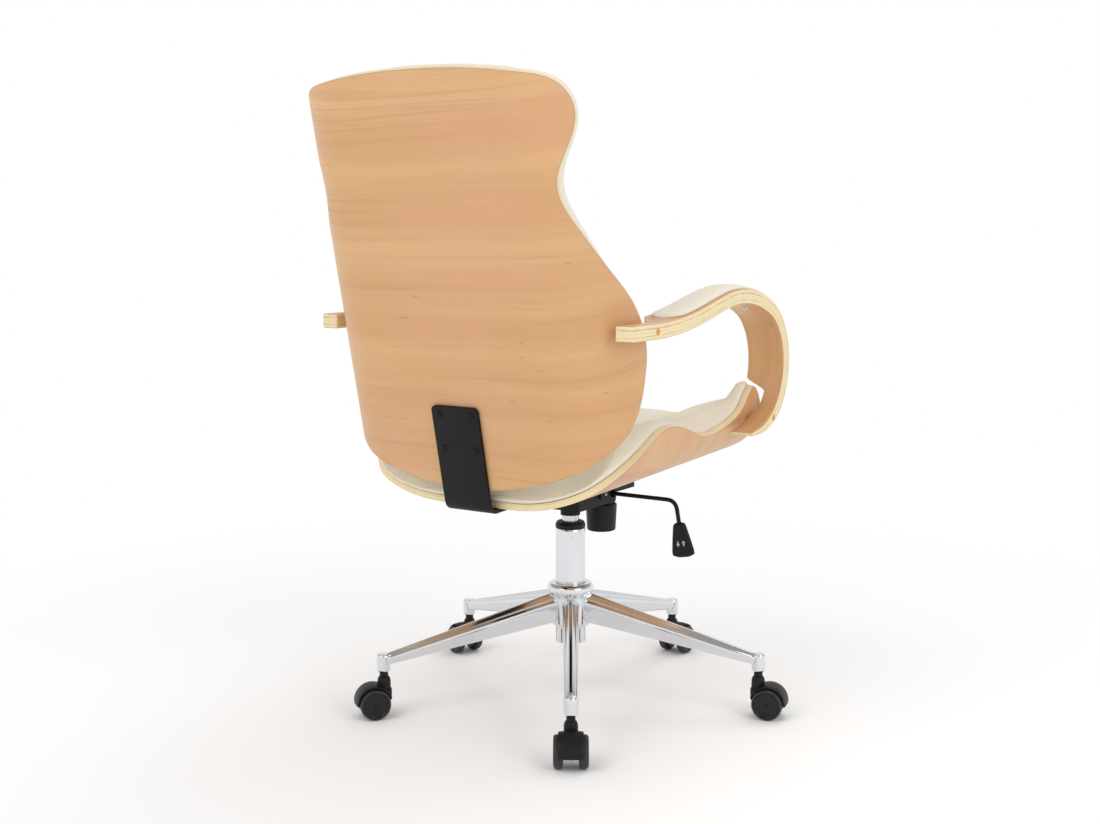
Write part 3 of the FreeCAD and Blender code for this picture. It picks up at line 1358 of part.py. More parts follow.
def arm_shape():
    """The right arm: a strip that is wide under the pad and narrow at both ends."""
    path = arm_path()
    half = 0.5 * val.arm_thickness
    outer = val.arm_inner + val.arm_narrow
    wide = outer - val.arm_wide
    face = path.ribbon(0, path.length, -half, half, lambda y, z: Vector(wide, y, z))
    strip = face.extrude(Vector(val.arm_wide, 0, 0))
    far = 2 * val.arm_rear
    reach = val.arm_height

    def notch(lift, push):
        """A block that takes the inner part away, ending in an even S."""
        turn = 2 * math.atan2(val.arm_wide - val.arm_narrow, val.notch_run)
        bend = 0.5 * val.notch_run / math.sin(turn) * turn
        bow = Path((val.arm_inner, 0), 90, [(bend, math.degrees(turn)), (bend, -math.degrees(turn))])
        corners = [bow.at(bow.length)[0], (wide - half, val.notch_run), (wide - half, -far),
                   (val.arm_inner, -far), (val.arm_inner, 0)]
        lines = [Part.LineSegment(lift(*one), lift(*two)).toShape() for one, two in zip(corners, corners[1:])]
        edges = bow.edges(0, bow.length, 0, lift) + lines
        return Part.Face(Part.Wire(Part.__sortEdges__(edges))).extrude(push)

    rear = notch(lambda x, along: Vector(x, along - val.notch_rear, val.notch_low),
                 Vector(0, 0, reach))
    low = notch(lambda x, along: Vector(x, -far, along + val.notch_low), Vector(0, 2 * far, 0))
    strip = strip.cut(rear).cut(low)
    clear = val.press_gap
    for point in (rear_screw_point(), low_screw_point()):
        for radius, start in ((val.arm_screw_radius + clear, val.arm_inner - half),
                              (val.plug_radius + clear, outer - val.plug_depth)):
            strip = strip.cut(rod_along(Vector(start, *point), Vector(1, 0, 0), radius, 2 * outer))
    for screw in pad_screws(val.pad_screw_radius + clear, val.pad_screw_head):
        strip = strip.cut(screw)
    return strip


def arm_pad_shape():
    """The right arm's pad, following the top of the strip."""
    path = arm_path()
    low = 0.5 * val.arm_thickness
    high = low + val.arm_pad_height
    inner = val.arm_inner + val.arm_narrow - val.arm_wide + val.arm_pad_inset
    width = val.arm_wide - 2 * val.arm_pad_inset
    face = path.ribbon(val.arm_pad_start, val.arm_pad_end, low, high, lambda y, z: Vector(inner, y, z))
    block = face.extrude(Vector(width, 0, 0))
    ends = [edge for edge in block.Edges if abs(edge.Length - val.arm_pad_height) < 0.01]
    block = block.makeFillet(val.arm_pad_corner, ends)
    marks = [path.at(along, high)[0] for along in range(int(val.arm_pad_start), int(val.arm_pad_end) + 1)]

    def on_top(point):
        return min(math.hypot(point.y - y, point.z - z) for y, z in marks) < 1

    borders = [inner, inner + width]
    rim = [edge for edge in block.Edges
           if all(on_top(point) for point in edge.discretize(5))
           and not all(abs(edge.BoundBox.XMin - x) > 1 and abs(edge.BoundBox.XMax - x) > 1 for x in borders)
           and abs(edge.BoundBox.XLength - width) > 1]
    block = block.makeFillet(val.arm_pad_round, rim)
    for screw in pad_screws(val.pad_screw_radius + val.press_gap, val.pad_screw_head):
        block = block.cut(screw)
    return block


def pad_screws(radius, head):
    """Screws up through the right arm into its pad."""
    path = arm_path()
    made = []
    for along in (val.pad_screw_first, val.pad_screw_second):
        (y, z), heading = path.at(along, -0.5 * val.arm_thickness)
        direction = Vector(0, -math.sin(heading), math.cos(heading))
        middle = val.arm_inner + val.arm_narrow - 0.5 * val.arm_wide
        made.append(fastener(Vector(middle, y, z), direction, radius,
                             val.arm_thickness + 0.6 * val.arm_pad_height, head, val.pad_screw_dome))
    return made


def make_arms():
    for label, shape in (("arm", arm_shape()), ("arm_pad", arm_pad_shape())):
        right, left = both_sides(shape)
        solid_piece(f"{label}_right", right)
        solid_piece(f"{label}_left", left)
    outer = val.arm_inner + val.arm_narrow
    sideways = Vector(1, 0, 0)
    screws, plugs, spacers = [], [], []
    wall = seat_profile().ribbon(0, seat_profile().length, 0, 3 * val.ply_thickness,
                                 lambda x, z: Vector(x, -val.seat_rear, z))
    wall = wall.extrude(Vector(0, 2 * val.seat_rear, 0)).transformed(seat_place().toMatrix())
    for point, end in ((rear_screw_point(), val.rear_screw_end), (low_screw_point(), val.low_screw_end)):
        screws += arm_screw_rods(point, end + val.side_gap, val.arm_screw_radius)
        plug = rod_along(Vector(outer - val.plug_depth, *point), sideways, val.plug_radius, val.plug_depth)
        plugs += both_sides(plug)
    start = Vector(val.low_screw_end, *low_screw_point())
    long = val.arm_inner - val.low_screw_end
    spacer = rod_along(start, sideways, val.spacer_radius, long).cut(wall)
    hole = rod_along(start, sideways, val.arm_screw_radius + val.press_gap, long)
    spacers += both_sides(spacer.cut(hole))
    pads = [side for screw in pad_screws(val.pad_screw_radius, val.pad_screw_head - val.press_gap)
            for side in both_sides(screw)]
    for label, shapes in (("arm_screws", screws), ("arm_plugs", plugs), ("arm_spacers", spacers),
                          ("pad_screws", pads)):
        fastener_group(label, shapes)


for make in (make_star_base, make_castors, make_column, make_housing, make_tilt_pin, make_seat_plate,
             make_tension, make_lever, make_seat, make_back, make_bracket, make_fasteners, make_arms):
    make()
doc.recompute()

for made in doc.Objects:
    if "Invalid" in made.State or "Error" in made.State:
        raise RuntimeError(f"{made.Label} did not recompute: {made.State}")
os.makedirs("parts", exist_ok=True)
for label, made in PIECES.items():
    shape = made.Shape
    if shape.isNull() or not shape.isValid():
        raise RuntimeError(f"{label} has no valid shape")
    shape.exportStep(f"parts/{label}.step")
    box = shape.BoundBox
    print(f"{label}: {len(shape.Solids)} solid, {len(shape.Faces)} faces, {shape.Volume / 1000:.1f} cm3, "
          f"x {box.XMin:.0f} {box.XMax:.0f} y {box.YMin:.0f} {box.YMax:.0f} z {box.ZMin:.0f} {box.ZMax:.0f}")
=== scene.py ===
import math

import bpy
import numpy as np
from mathutils import Matrix, Vector


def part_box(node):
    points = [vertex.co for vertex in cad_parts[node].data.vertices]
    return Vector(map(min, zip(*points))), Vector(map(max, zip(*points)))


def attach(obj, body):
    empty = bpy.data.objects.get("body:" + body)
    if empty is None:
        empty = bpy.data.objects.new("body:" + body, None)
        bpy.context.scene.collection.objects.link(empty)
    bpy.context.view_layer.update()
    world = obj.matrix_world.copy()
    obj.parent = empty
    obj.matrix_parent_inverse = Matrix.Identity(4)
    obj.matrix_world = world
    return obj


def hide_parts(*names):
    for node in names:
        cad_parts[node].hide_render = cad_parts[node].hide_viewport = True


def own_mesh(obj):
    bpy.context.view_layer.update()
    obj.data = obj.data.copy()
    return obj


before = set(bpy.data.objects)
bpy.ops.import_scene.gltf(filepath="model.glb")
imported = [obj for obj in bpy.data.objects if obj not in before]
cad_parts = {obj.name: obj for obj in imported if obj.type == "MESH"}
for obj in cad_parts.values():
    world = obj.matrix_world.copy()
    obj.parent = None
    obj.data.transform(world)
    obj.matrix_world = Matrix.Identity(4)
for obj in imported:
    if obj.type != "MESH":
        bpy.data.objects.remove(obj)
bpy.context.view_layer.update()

bl_info = {
    "name": "Bent-plywood swivel chair",
    "version": (1, 0, 0),
    "blender": (4, 5, 0),
    "location": "3D View > Sidebar > Chair",
    "description": "Dresses the packed swivel chair in plywood, leatherette, chrome and black fittings",
    "category": "Object",
}

SIDES = {"right": 1.0, "left": -1.0}
LEGS = 5
LEG_HEADING = -57.0
STEM_CIRCLE = 0.320
REAR_SCREW = 0.069
LOW_SCREW = 0.082
ARM_TAPER = 0.017
HOOK_START = 0.60
BACK_LEAN, BACK_PLACE = 12.0, (-0.306, 0.500)
SEAT_PITCH, SEAT_PLACE = 2.4, (0.0, 0.381)
PAD_GAP = 0.0003
KNOB_FORWARD = 0.098
AXLE_TRAIL, AXLE_HEIGHT, GUARD_RADIUS = 0.018, 0.025, 0.0276
GRIP_START, GRIP_LENGTH = 0.0005, 0.058


# Sizes and colours that a user may change


def length(label, note, default):
    """A length in metres for a property group."""
    return bpy.props.FloatProperty(name=label, description=note, default=default, min=0.0, precision=4,
                                   subtype="DISTANCE", unit="LENGTH")


def colour(label, note, red, green, blue):
    """A colour for a property group, written as the eye sees it from 0 to 255."""
    seen = np.array([red, green, blue]) / 255
    light = np.where(seen <= 0.04045, seen / 12.92, ((seen + 0.055) / 1.055) ** 2.4)
    return bpy.props.FloatVectorProperty(name=label, description=note, default=light.tolist(), size=3,
                                         min=0.0, max=1.0, subtype="COLOR")


class ChairSizes(bpy.types.PropertyGroup):
    """Sizes of the visible pieces."""

    ply: length("Plywood", "Thickness of the bent seat and back", 0.011)
    arris: length("Arris", "Rounding of the plywood's edges", 0.0016)
    back_pad: length("Back cushion", "Height of the back cushion over the plywood's rear face", 0.050)
    seat_pad: length("Seat cushion", "Height of the seat cushion over the plywood's underside", 0.078)
    back_proud: length("Back overhang", "How far the back cushion swells past the plywood's sides", 0.015)
    back_tuck: length("Back tuck", "How much less it swells at the top and bottom edges", 0.0105)
    seat_proud: length("Seat overhang", "How far the seat cushion swells past the plywood", 0.0045)
    back_roll: length("Back cushion roll", "Roll of the back cushion's rim", 0.016)
    seat_roll: length("Seat cushion roll", "Roll of the seat cushion's rim", 0.022)
    seam: length("Seam", "Depth of the sewn seam along a cushion's rim", 0.0016)
    stitch: length("Stitch", "Distance from one stitch to the next", 0.0065)
    arm_thickness: length("Arm thickness", "Laminated thickness of an arm", 0.023)
    arm_outer: length("Arm outside", "Outer face of an arm from the middle", 0.2875)
    arm_narrow: length("Arm ends", "Width of an arm at its ends", 0.030)
    arm_wide: length("Arm middle", "Width of an arm under its pad", 0.066)
    arm_pad: length("Arm pad", "Height of an arm pad", 0.007)
    tube: length("Column tube", "Radius of the column tube", 0.025)
    strut: length("Gas strut", "Radius of the gas strut", 0.014)
    wheel: length("Castor wheel", "Radius of a castor wheel", 0.025)
    rod: length("Lever rod", "Radius of the lever's rod", 0.0035)
    spring_wire: length("Spring wire", "Radius of the tension spring's wire", 0.0022)


class ChairColours(bpy.types.PropertyGroup):
    """Colours of the finishes."""

    veneer: colour("Veneer", "Face veneer of seat, back and arms", 205, 157, 106)
    veneer_dark: colour("Veneer figure", "Darker figure of the veneer", 168, 114, 69)
    veneer_pale: colour("Veneer light", "Paler streaks of the veneer", 217, 175, 124)
    veneer_rose: colour("Veneer rose", "Rosy clouds in the veneer", 211, 158, 118)
    core: colour("Core veneer", "Pale plies in the plywood's edge", 236, 220, 178)
    core_dark: colour("Cross plies", "Plies that show end grain", 222, 200, 150)
    glue: colour("Glue line", "Lines between the plies", 158, 118, 66)
    hide: colour("Leatherette", "Covers of the cushions", 233, 225, 208)
    # Darker cover tone: the cover's own mottling and the darker thread strands, and painted shade in the
    # creases and between the pebbles.
    hide_dark: colour("Leatherette folds", "Shaded grain of the covers", 217, 206, 184)
    thread: colour("Thread", "Stitching of the covers", 222, 211, 189)
    plug: colour("Plug", "Wooden plugs over the arm screws", 222, 164, 62)
    chrome: colour("Chrome", "Base and column", 222, 224, 227)
    steel: colour("Bright steel", "Strut and screws", 208, 209, 210)
    black: colour("Black fittings", "Coated steel and moulded plastic", 17, 17, 18)
    tread: colour("Tread", "Running faces of the castor wheels", 36, 36, 38)
    mark: colour("Marks", "Printed arrows on the lever's grip", 205, 206, 208)
    floor: colour("Floor", "Floor under the chair", 250, 250, 250)


def sizes():
    return bpy.context.scene.chair_sizes


def colours():
    return bpy.context.scene.chair_colours


# Curves


def arc(radius, degrees):
    """One step of a bend: the length of an arc, and the angle that it turns."""
    return radius * math.radians(abs(degrees)), degrees


def ease(low, high, value):
    """Zero under the low value, one over the high value, and an even S between them."""
    share = np.clip((value - low) / (high - low), 0, 1)
    return share * share * (3 - 2 * share)


def circle(count):
    """Angles at equal steps round a circle."""
    return np.linspace(0, 2 * np.pi, count, endpoint=False)


def unit(vectors):
    """Vectors brought to a length of one."""
    return vectors / np.linalg.norm(vectors, axis=-1, keepdims=True)


def lengths(line):
    """How far along a line of points each of them lies."""
    return np.concatenate([[0.0], np.cumsum(np.linalg.norm(np.diff(line, axis=0), axis=1))])


def sample(where, run, line):
    """The points at given distances along a line."""
    return np.stack([np.interp(where, run, part) for part in line.T], -1)


def bulge(wave, power):
    """A wave raised to a power with its sign kept, which squares up a circle."""
    return np.sign(wave) * np.abs(wave) ** power


class Bend:
    """A line in a plane as a chain of runs, each with a length and an angle that it turns evenly."""

    def __init__(self, start, steps, heading=0.0):
        self.run, turn = np.array(steps, float).T
        self.rate = np.radians(turn) / self.run
        self.begin = np.concatenate([[0.0], np.cumsum(self.run)])
        self.heading = math.radians(heading) + np.concatenate([[0.0], np.cumsum(np.radians(turn))])
        legs = np.stack(self.carry(self.heading[:-1], self.rate, self.run), -1)
        self.corner = np.array(start, float) + np.concatenate([np.zeros((1, 2)), np.cumsum(legs, 0)])

    @staticmethod
    def carry(heading, rate, run):
        """The chord of an evenly turning run: its length times sin(h)/h, with h half of the turn."""
        half = 0.5 * rate * run
        chord = run * np.sinc(half / np.pi)
        return chord * np.cos(heading + half), chord * np.sin(heading + half)

    def at(self, along, aside=0.0):
        """The points a distance along the line and a distance to its left, and the heading there."""
        along = np.asarray(along, float)
        step = np.clip(np.searchsorted(self.begin, along, "right") - 1, 0, len(self.run) - 1)
        past = along - self.begin[step]
        right, up = self.carry(self.heading[step], self.rate[step], past)
        turn = self.heading[step] + self.rate[step] * past
        return (self.corner[step, 0] + right - aside * np.sin(turn),
                self.corner[step, 1] + up + aside * np.cos(turn), turn)


def closed_spline(points, count):
    """A cubic spline round a closed line of points, sampled at equal steps of its length.

    The second slopes come from the usual three-term equations, solved round the loop."""
    here = np.array(points, float)
    after, before = np.roll(here, -1, 0), np.roll(here, 1, 0)
    ahead = np.linalg.norm(after - here, axis=1)
    behind = np.roll(ahead, 1)
    size = len(here)
    index = np.arange(size)
    system = np.diag(2 * (ahead + behind))
    system[index, index - 1] += behind
    system[index, (index + 1) % size] += ahead
    bends = np.linalg.solve(system, 6 * ((after - here) / ahead[:, None] - (here - before) / behind[:, None]))
    knots = np.concatenate([[0.0], np.cumsum(ahead)])
    place = np.linspace(0, knots[-1], 24 * count, endpoint=False)
    step = np.searchsorted(knots, place, "right") - 1
    span = ahead[step][:, None]
    past = ((place - knots[step]) / ahead[step])[:, None]
    left = 1 - past
    lift = (left ** 3 - left) * bends[step] + (past ** 3 - past) * bends[(step + 1) % size]
    fine = left * here[step] + past * after[step] + lift * span * span / 6
    fine = np.concatenate([fine, fine[:1]])
    run = lengths(fine)
    even = np.linspace(0, run[-1], count, endpoint=False)
    return sample(even, run, fine)


def eased(points, radius, closed=False, steps=5):
    """A line of straight runs, each corner replaced by a parabola with a point on each side to hold it."""
    here = np.array(points, float)
    back, on = np.roll(here, 1, 0) - here, np.roll(here, -1, 0) - here
    far_back, far_on = np.linalg.norm(back, axis=1), np.linalg.norm(on, axis=1)
    cut = np.minimum(radius, 0.38 * np.minimum(far_back, far_on))[:, None]
    start = here + back / far_back[:, None] * cut
    end = here + on / far_on[:, None] * cut
    share = np.linspace(0, 1, steps)[None, :, None]
    left = 1 - share
    bow = left ** 2 * start[:, None] + 2 * share * left * here[:, None] + share ** 2 * end[:, None]
    before, after = ((here + (point - here) * 1.25)[:, None] for point in (start, end))
    held = np.concatenate([before, bow, after], 1)
    if closed:
        return held.reshape(-1, here.shape[1])
    return np.concatenate([here[:1], held[1:-1].reshape(-1, here.shape[1]), here[-1:]])


# Meshes


class Skin:
    """Collects closed grids of points and makes one piece of them."""

    def __init__(self, *grids):
        self.points, self.faces, self.marks, self.grain, self.ply = [], [], [], [], []
        self.count = 0
        for grid in grids:
            self.add(grid)

    def add(self, grid, mark=0, grain=None, ply=None, ends=True):
        """Quads join neighbours along the rows and round each row. Each end row is drawn in to one point,
        or the last row joins the first. A grid whose volume comes out negative is turned round."""
        rows, around = grid.shape[:2]
        index = np.arange(rows * around).reshape(rows, around)
        low, high = (index[:-1], index[1:]) if ends else (index, np.roll(index, -1, 0))
        quads = np.stack([low, np.roll(low, -1, 1), np.roll(high, -1, 1), high], -1).reshape(-1, 4)
        marks = np.broadcast_to(mark, low.shape).ravel()
        sheets = [grid, np.zeros((rows, around, 2)) if grain is None else grain,
                  np.zeros((rows, around, 1)) if ply is None else ply[..., None]]
        flat = [sheet.reshape(rows * around, -1) for sheet in sheets]
        fans = np.zeros((0, 3), int)
        if ends:
            flat = [np.concatenate([one, sheet[[0, -1]].mean(1)]) for one, sheet in zip(flat, sheets)]
            poles = np.full((2, around), rows * around) + np.array([[0], [1]])
            fans = np.concatenate([np.stack([np.roll(index[0], -1), index[0], poles[0]], -1),
                                   np.stack([index[-1], np.roll(index[-1], -1), poles[1]], -1)])
            marks = np.concatenate([marks, np.broadcast_to(mark, low.shape)[[0, -1]].ravel()])
        corners = np.concatenate([quads[:, :3], quads[:, [0, 2, 3]], fans])
        a, b, c = (flat[0][corners[:, side]] for side in range(3))
        if np.einsum("ij,ij->", a, np.cross(b, c)) < 0:
            quads, fans = quads[:, ::-1], fans[:, ::-1]
        self.points.append(flat[0])
        self.grain.append(flat[1])
        self.ply.append(flat[2])
        self.faces += (quads + self.count).tolist() + (fans + self.count).tolist()
        self.marks.append(marks)
        self.count += len(flat[0])
        return self

    def build(self, name, finishes, body, slot, *nodes):
        """Makes the mesh, rides it on its body and lets it stand for CAD nodes."""
        mesh = bpy.data.meshes.new(name)
        mesh.from_pydata(np.concatenate(self.points).tolist(), [], self.faces)
        for one in finishes:
            mesh.materials.append(finish(one))
        mesh.polygons.foreach_set("material_index", np.concatenate(self.marks).astype(np.int32))
        mesh.polygons.foreach_set("use_smooth", np.ones(len(mesh.polygons), bool))
        corner = np.empty(len(mesh.loops), np.int32)
        mesh.loops.foreach_get("vertex_index", corner)
        grain = np.concatenate(self.grain).astype(np.float32)[corner]
        mesh.uv_layers.new(name="grain").data.foreach_set("uv", grain.ravel())
        ply = np.concatenate(self.ply).astype(np.float32)
        mesh.attributes.new("ply", "FLOAT", "POINT").data.foreach_set("value", ply.ravel())
        mesh.update()
        made = bpy.data.objects.new(name, mesh)
        bpy.context.scene.collection.objects.link(made)
        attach(made, body)
        if nodes:
            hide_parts(*nodes)
        return made


def turn_about(axis, degrees):
    """A rotation by an angle about one of the axes X, Y or Z."""
    return np.array(Matrix.Rotation(math.radians(degrees), 3, axis))


def lathe(profile, count=64, wobble=None):
    """A profile of (radius, height) points turned about Z. A wobble scales the radius by angle and row."""
    angle = circle(count)
    radius = profile[:, :1] * np.ones(count)
    if wobble is not None:
        radius = wobble(angle[None, :], profile[:, 1:], radius)
    height = profile[:, 1:] * np.ones(count)
    return np.stack([radius * np.cos(angle), radius * np.sin(angle), height], -1)


def turned(points, radius, count, closed=False, wobble=None):
    """A profile with eased corners turned about Z: closed, or open with both ends on the axis."""
    line = eased(points, radius, closed)
    return lathe(line if closed else line[1:-1], count, wobble)


def tube(path, radius, count=20, round_end=0.0):
    """A circle carried along a path, its frame turned as little as it can be from point to point."""
    path = np.asarray(path, float)
    ahead = unit(np.gradient(path, axis=0))
    side = [np.cross(ahead[0], np.eye(3)[np.argmin(np.abs(ahead[0]))])]
    for way in ahead[1:]:
        side.append(side[-1] - way * np.dot(side[-1], way))
    side = unit(np.array(side))
    up = np.cross(ahead, side)
    angle = circle(count)
    ring = np.cos(angle)[:, None] * side[:, None] + np.sin(angle)[:, None] * up[:, None]
    grid = path[:, None] + radius * ring
    if round_end:
        lift = np.radians([80, 55, 30, 10])
        caps = []
        for end, sign in ((0, -1), (-1, 1)):
            out = path[end] + sign * round_end * np.sin(lift)[:, None] * ahead[end]
            rows = out[:, None] + (radius * np.cos(lift))[:, None, None] * ring[end]
            caps.append(rows if sign < 0 else rows[::-1])
        grid = np.concatenate([caps[0], grid, caps[1]])
    return grid


def rounded_path(points, radius, spacing=0.003):
    """Straight runs joined by parabolas at the corners, sampled evenly."""
    line = eased(points, radius, steps=9)
    run = lengths(line)
    even = np.linspace(0, run[-1], int(run[-1] / spacing) + 1)
    return sample(even, run, line)


def strip(bend, stations, inner, outer, low, high, arris):
    """A rounded rectangle carried along a line in the upright plane.

    It reaches from the inner to the outer width across X and from low to high beside the line. Its ends draw
    in by quarter circles. Gives the points, the angle round the section, and the places beside and along."""
    fold = np.radians(np.linspace(0, 90, 6))
    drawn = arris * (1 - np.cos(fold[::-1]))
    inset = np.concatenate([drawn, np.zeros(len(stations) - 2), drawn[::-1]])
    first = stations[0] + arris * (1 - np.sin(fold[::-1]))
    last = stations[-1] - arris * (1 - np.sin(fold))
    along = np.concatenate([first, stations[1:-1], last])
    inner, outer, low, high = (np.interp(along, stations, np.broadcast_to(edge, stations.shape))
                               for edge in (inner, outer, low, high))
    around = np.concatenate([fold + quarter * 0.5 * np.pi for quarter in range(4)])
    way_x = np.repeat([1, -1, -1, 1], len(fold))
    way_n = np.repeat([1, 1, -1, -1], len(fold))
    middle, half = 0.5 * (inner + outer)[:, None], 0.5 * (outer - inner)[:, None]
    rise, deep = 0.5 * (low + high)[:, None], 0.5 * (high - low)[:, None]
    gone = inset[:, None]
    x = middle + way_x * (half - arris) + (arris - gone) * np.cos(around)
    beside = rise + way_n * (deep - arris) + (arris - gone) * np.sin(around)
    y, z, _ = bend.at(along[:, None] + 0 * beside, beside)
    return np.stack([x, y, z], -1), around, beside, along


def section_marks(around, rows):
    """The finish of each quad of a strip: one where it looks sideways or at the ends, and else zero."""
    half_way = 0.5 * (around + np.roll(around, -1) + 2 * np.pi * (np.roll(around, -1) < around))
    marks = np.tile(np.where(np.abs(np.cos(half_way)) > 0.71, 1, 0), (rows - 1, 1))
    marks[:4] = 1
    marks[-4:] = 1
    return marks


# Bent panels


class Panel:
    """A bent sheet: its line across, its outline, and its place in the chair."""

    count = 400

    def __init__(self, bend, foot, side, head, centre, tilt, origin, upright):
        self.bend, self.centre, self.origin, self.upright = bend, np.array(centre), origin, upright
        self.lean = math.cos(math.radians(tilt)), math.sin(math.radians(tilt))
        reach = np.linspace(0, bend.begin[-1], 4000)
        _, rise, _ = bend.at(reach)
        grown = np.maximum.accumulate(rise) + 1e-9 * np.arange(len(rise))
        right = foot + [(float(np.interp(height, grown, reach)), along) for height, along in side] + head
        left = [(-across, along) for across, along in right[-2:0:-1]]
        self.line = closed_spline(right + left, self.count)
        go = np.roll(self.line, -1, 0) - np.roll(self.line, 1, 0)
        self.out = unit(np.stack([go[:, 1], -go[:, 0]], -1))

    def rings(self, inset, shares):
        """The outline, drawn in by an inset, at several shares of its distance from the centre."""
        edge = self.line - inset * self.out
        return self.centre + (edge - self.centre) * np.asarray(shares)[:, None, None]

    def lift(self, flat, depth):
        """Points of the sheet bent to its line, a depth inside it, and set in their place."""
        across = flat[..., 0]
        x, beside, _ = self.bend.at(np.abs(across), depth)
        x = x * np.where(across < 0, -1, 1)
        y, z = (beside, flat[..., 1]) if self.upright else (flat[..., 1], beside)
        cos, sin = self.lean
        return np.stack([x, self.origin[0] + y * cos - z * sin, self.origin[1] + y * sin + z * cos], -1)


def back_panel():
    """The back: a nearly flat middle, curled wings, a waist and rounded shoulders."""
    bend = Bend((0, 0), [arc(2.4, 3.6), arc(0.1135, 102.4)])
    foot = [(0.0, -0.102), (0.0754, -0.098), (0.1433, -0.082)]
    side = [(0.038, -0.049), (0.0917, -0.0046), (0.1307, 0.0598), (0.139, 0.079), (0.1195, 0.157),
            (0.0737, 0.2246), (0.0417, 0.287), (0.026, 0.352), (0.0416, 0.4059), (0.052, 0.450),
            (0.036, 0.489)]
    head = [(0.181, 0.508), (0.0905, 0.520), (0.0, 0.523)]
    return Panel(bend, foot, side, head, (0, 0.2), BACK_LEAN, BACK_PLACE, True)


def seat_panel():
    """The seat: a flat middle, sides that sweep up, and a wave with a front lobe along each side."""
    bend = Bend((0, 0), [(0.064, 0), arc(0.3, 24), arc(0.114, 60), (0.062, 0)])
    foot = [(0.0, -0.262), (0.064, -0.262), (0.128, -0.2607)]
    side = [(0.030, -0.250), (0.088, -0.176), (0.114, -0.128), (0.114, -0.088), (0.0965, -0.030),
            (0.079, 0.030), (0.086, 0.090), (0.110, 0.136), (0.141, 0.167), (0.110, 0.200), (0.050, 0.224)]
    head = [(0.128, 0.2273), (0.064, 0.226), (0.0, 0.226)]
    return Panel(bend, foot, side, head, (0, 0), SEAT_PITCH, SEAT_PLACE, False)


def plywood(panel):
    """A closed skin of rings: out over the rear face, round the edge and its arrises, in over the front."""
    ply, arris = sizes().ply, sizes().arris
    shares = np.concatenate([np.linspace(0.02, 0.97, 42), [0.99]])
    fold = np.radians([0, 22, 45, 68, 90])
    face = panel.rings(2 * arris, shares)
    bevel = np.array([panel.line - arris * (1 - np.sin(turn)) * panel.out for turn in fold])
    sink = arris * (1 - np.cos(fold))
    walls = np.linspace(arris * 1.3, ply - arris * 1.3, 6)
    flat = np.concatenate([face, bevel, np.repeat(panel.line[None], len(walls), 0), bevel[::-1], face[::-1]])
    depth = np.concatenate([np.zeros(len(face)), sink, walls, ply - sink[::-1], np.full(len(face), ply)])
    depth = depth[:, None] * np.ones(panel.count)
    rows = np.arange(len(flat) - 1)
    edge = (rows >= len(face)) & (rows < len(flat) - len(face) - 1)
    mark = np.where(edge, 1, 0)[:, None] * np.ones(panel.count, int)
    return Skin().add(panel.lift(flat, depth), mark, flat, depth / ply)


# Cushions


def nearest(points, marks, chunk=400):
    """For each point, which mark is nearest: the least of |m|^2 - 2 p.m, a block of points at a time."""
    middle = marks.mean(0)
    points, marks = (points - middle).astype(np.float32), (marks - middle).astype(np.float32)
    size = np.einsum("ij,ij->i", marks, marks)
    doubled = -2 * marks.T
    return np.concatenate([np.argmin(points[start:start + chunk] @ doubled + size, 1)
                           for start in range(0, len(points), chunk)])


def mesh_points(mesh):
    flat = np.empty(len(mesh.vertices) * 3, np.float32)
    mesh.vertices.foreach_get("co", flat)
    return flat.reshape(-1, 3).astype(np.float64)


def swell(grid, held, voxel, cap, pressure=4.0):
    """Blows a closed cushion up with cloth simulation and gives its grid back, moved.

    A remeshed copy swells under inner pressure while its held side stays. Each move is capped by
    cap * tanh(move / cap), carried to the nearest grid points and evened out along the grid."""
    scene = bpy.context.scene
    skin = Skin(grid)
    mesh = bpy.data.meshes.new("swelling")
    mesh.from_pydata(skin.points[0].tolist(), [], skin.faces)
    source = bpy.data.objects.new("swelling", mesh)
    scene.collection.objects.link(source)
    remesh = source.modifiers.new("voxels", "REMESH")
    remesh.mode = "VOXEL"
    remesh.voxel_size = voxel
    bpy.context.view_layer.update()
    graph = bpy.context.evaluated_depsgraph_get()
    blown_mesh = bpy.data.meshes.new_from_object(source.evaluated_get(graph))
    blown = bpy.data.objects.new("blown", blown_mesh)
    scene.collection.objects.link(blown)
    rest = mesh_points(blown_mesh)
    flat = grid.reshape(-1, 3)
    fixed = np.broadcast_to(held[:, None], grid.shape[:2]).ravel()[nearest(rest, flat)]
    group = blown.vertex_groups.new(name="held")
    group.add(np.flatnonzero(fixed).tolist(), 1.0, "REPLACE")
    cloth = blown.modifiers.new("cloth", "CLOTH")
    cloth.settings.vertex_group_mass = "held"
    cloth.settings.use_pressure = True
    cloth.settings.uniform_pressure_force = pressure
    cloth.settings.effector_weights.gravity = 0.0
    cloth.point_cache.frame_start, cloth.point_cache.frame_end = 1, 20
    for step in range(1, 21):
        scene.frame_set(step)
    graph = bpy.context.evaluated_depsgraph_get()
    result = bpy.data.meshes.new_from_object(blown.evaluated_get(graph))
    move = mesh_points(result) - rest
    far = np.linalg.norm(move, axis=1)[:, None]
    move *= cap * np.tanh(far / cap) / np.maximum(far, 1e-9)
    shift = move[nearest(flat, rest)].reshape(grid.shape)
    for _ in range(6):
        padded = np.concatenate([shift[:1], shift, shift[-1:]])
        shift = (2 * shift + padded[:-2] + padded[2:] + np.roll(shift, 1, 1) + np.roll(shift, -1, 1)) / 6
    shift[held] = 0
    for one in (source, blown):
        bpy.data.objects.remove(one)
    for one in (mesh, blown_mesh, result):
        bpy.data.meshes.remove(one)
    scene.frame_set(1)
    return grid + shift


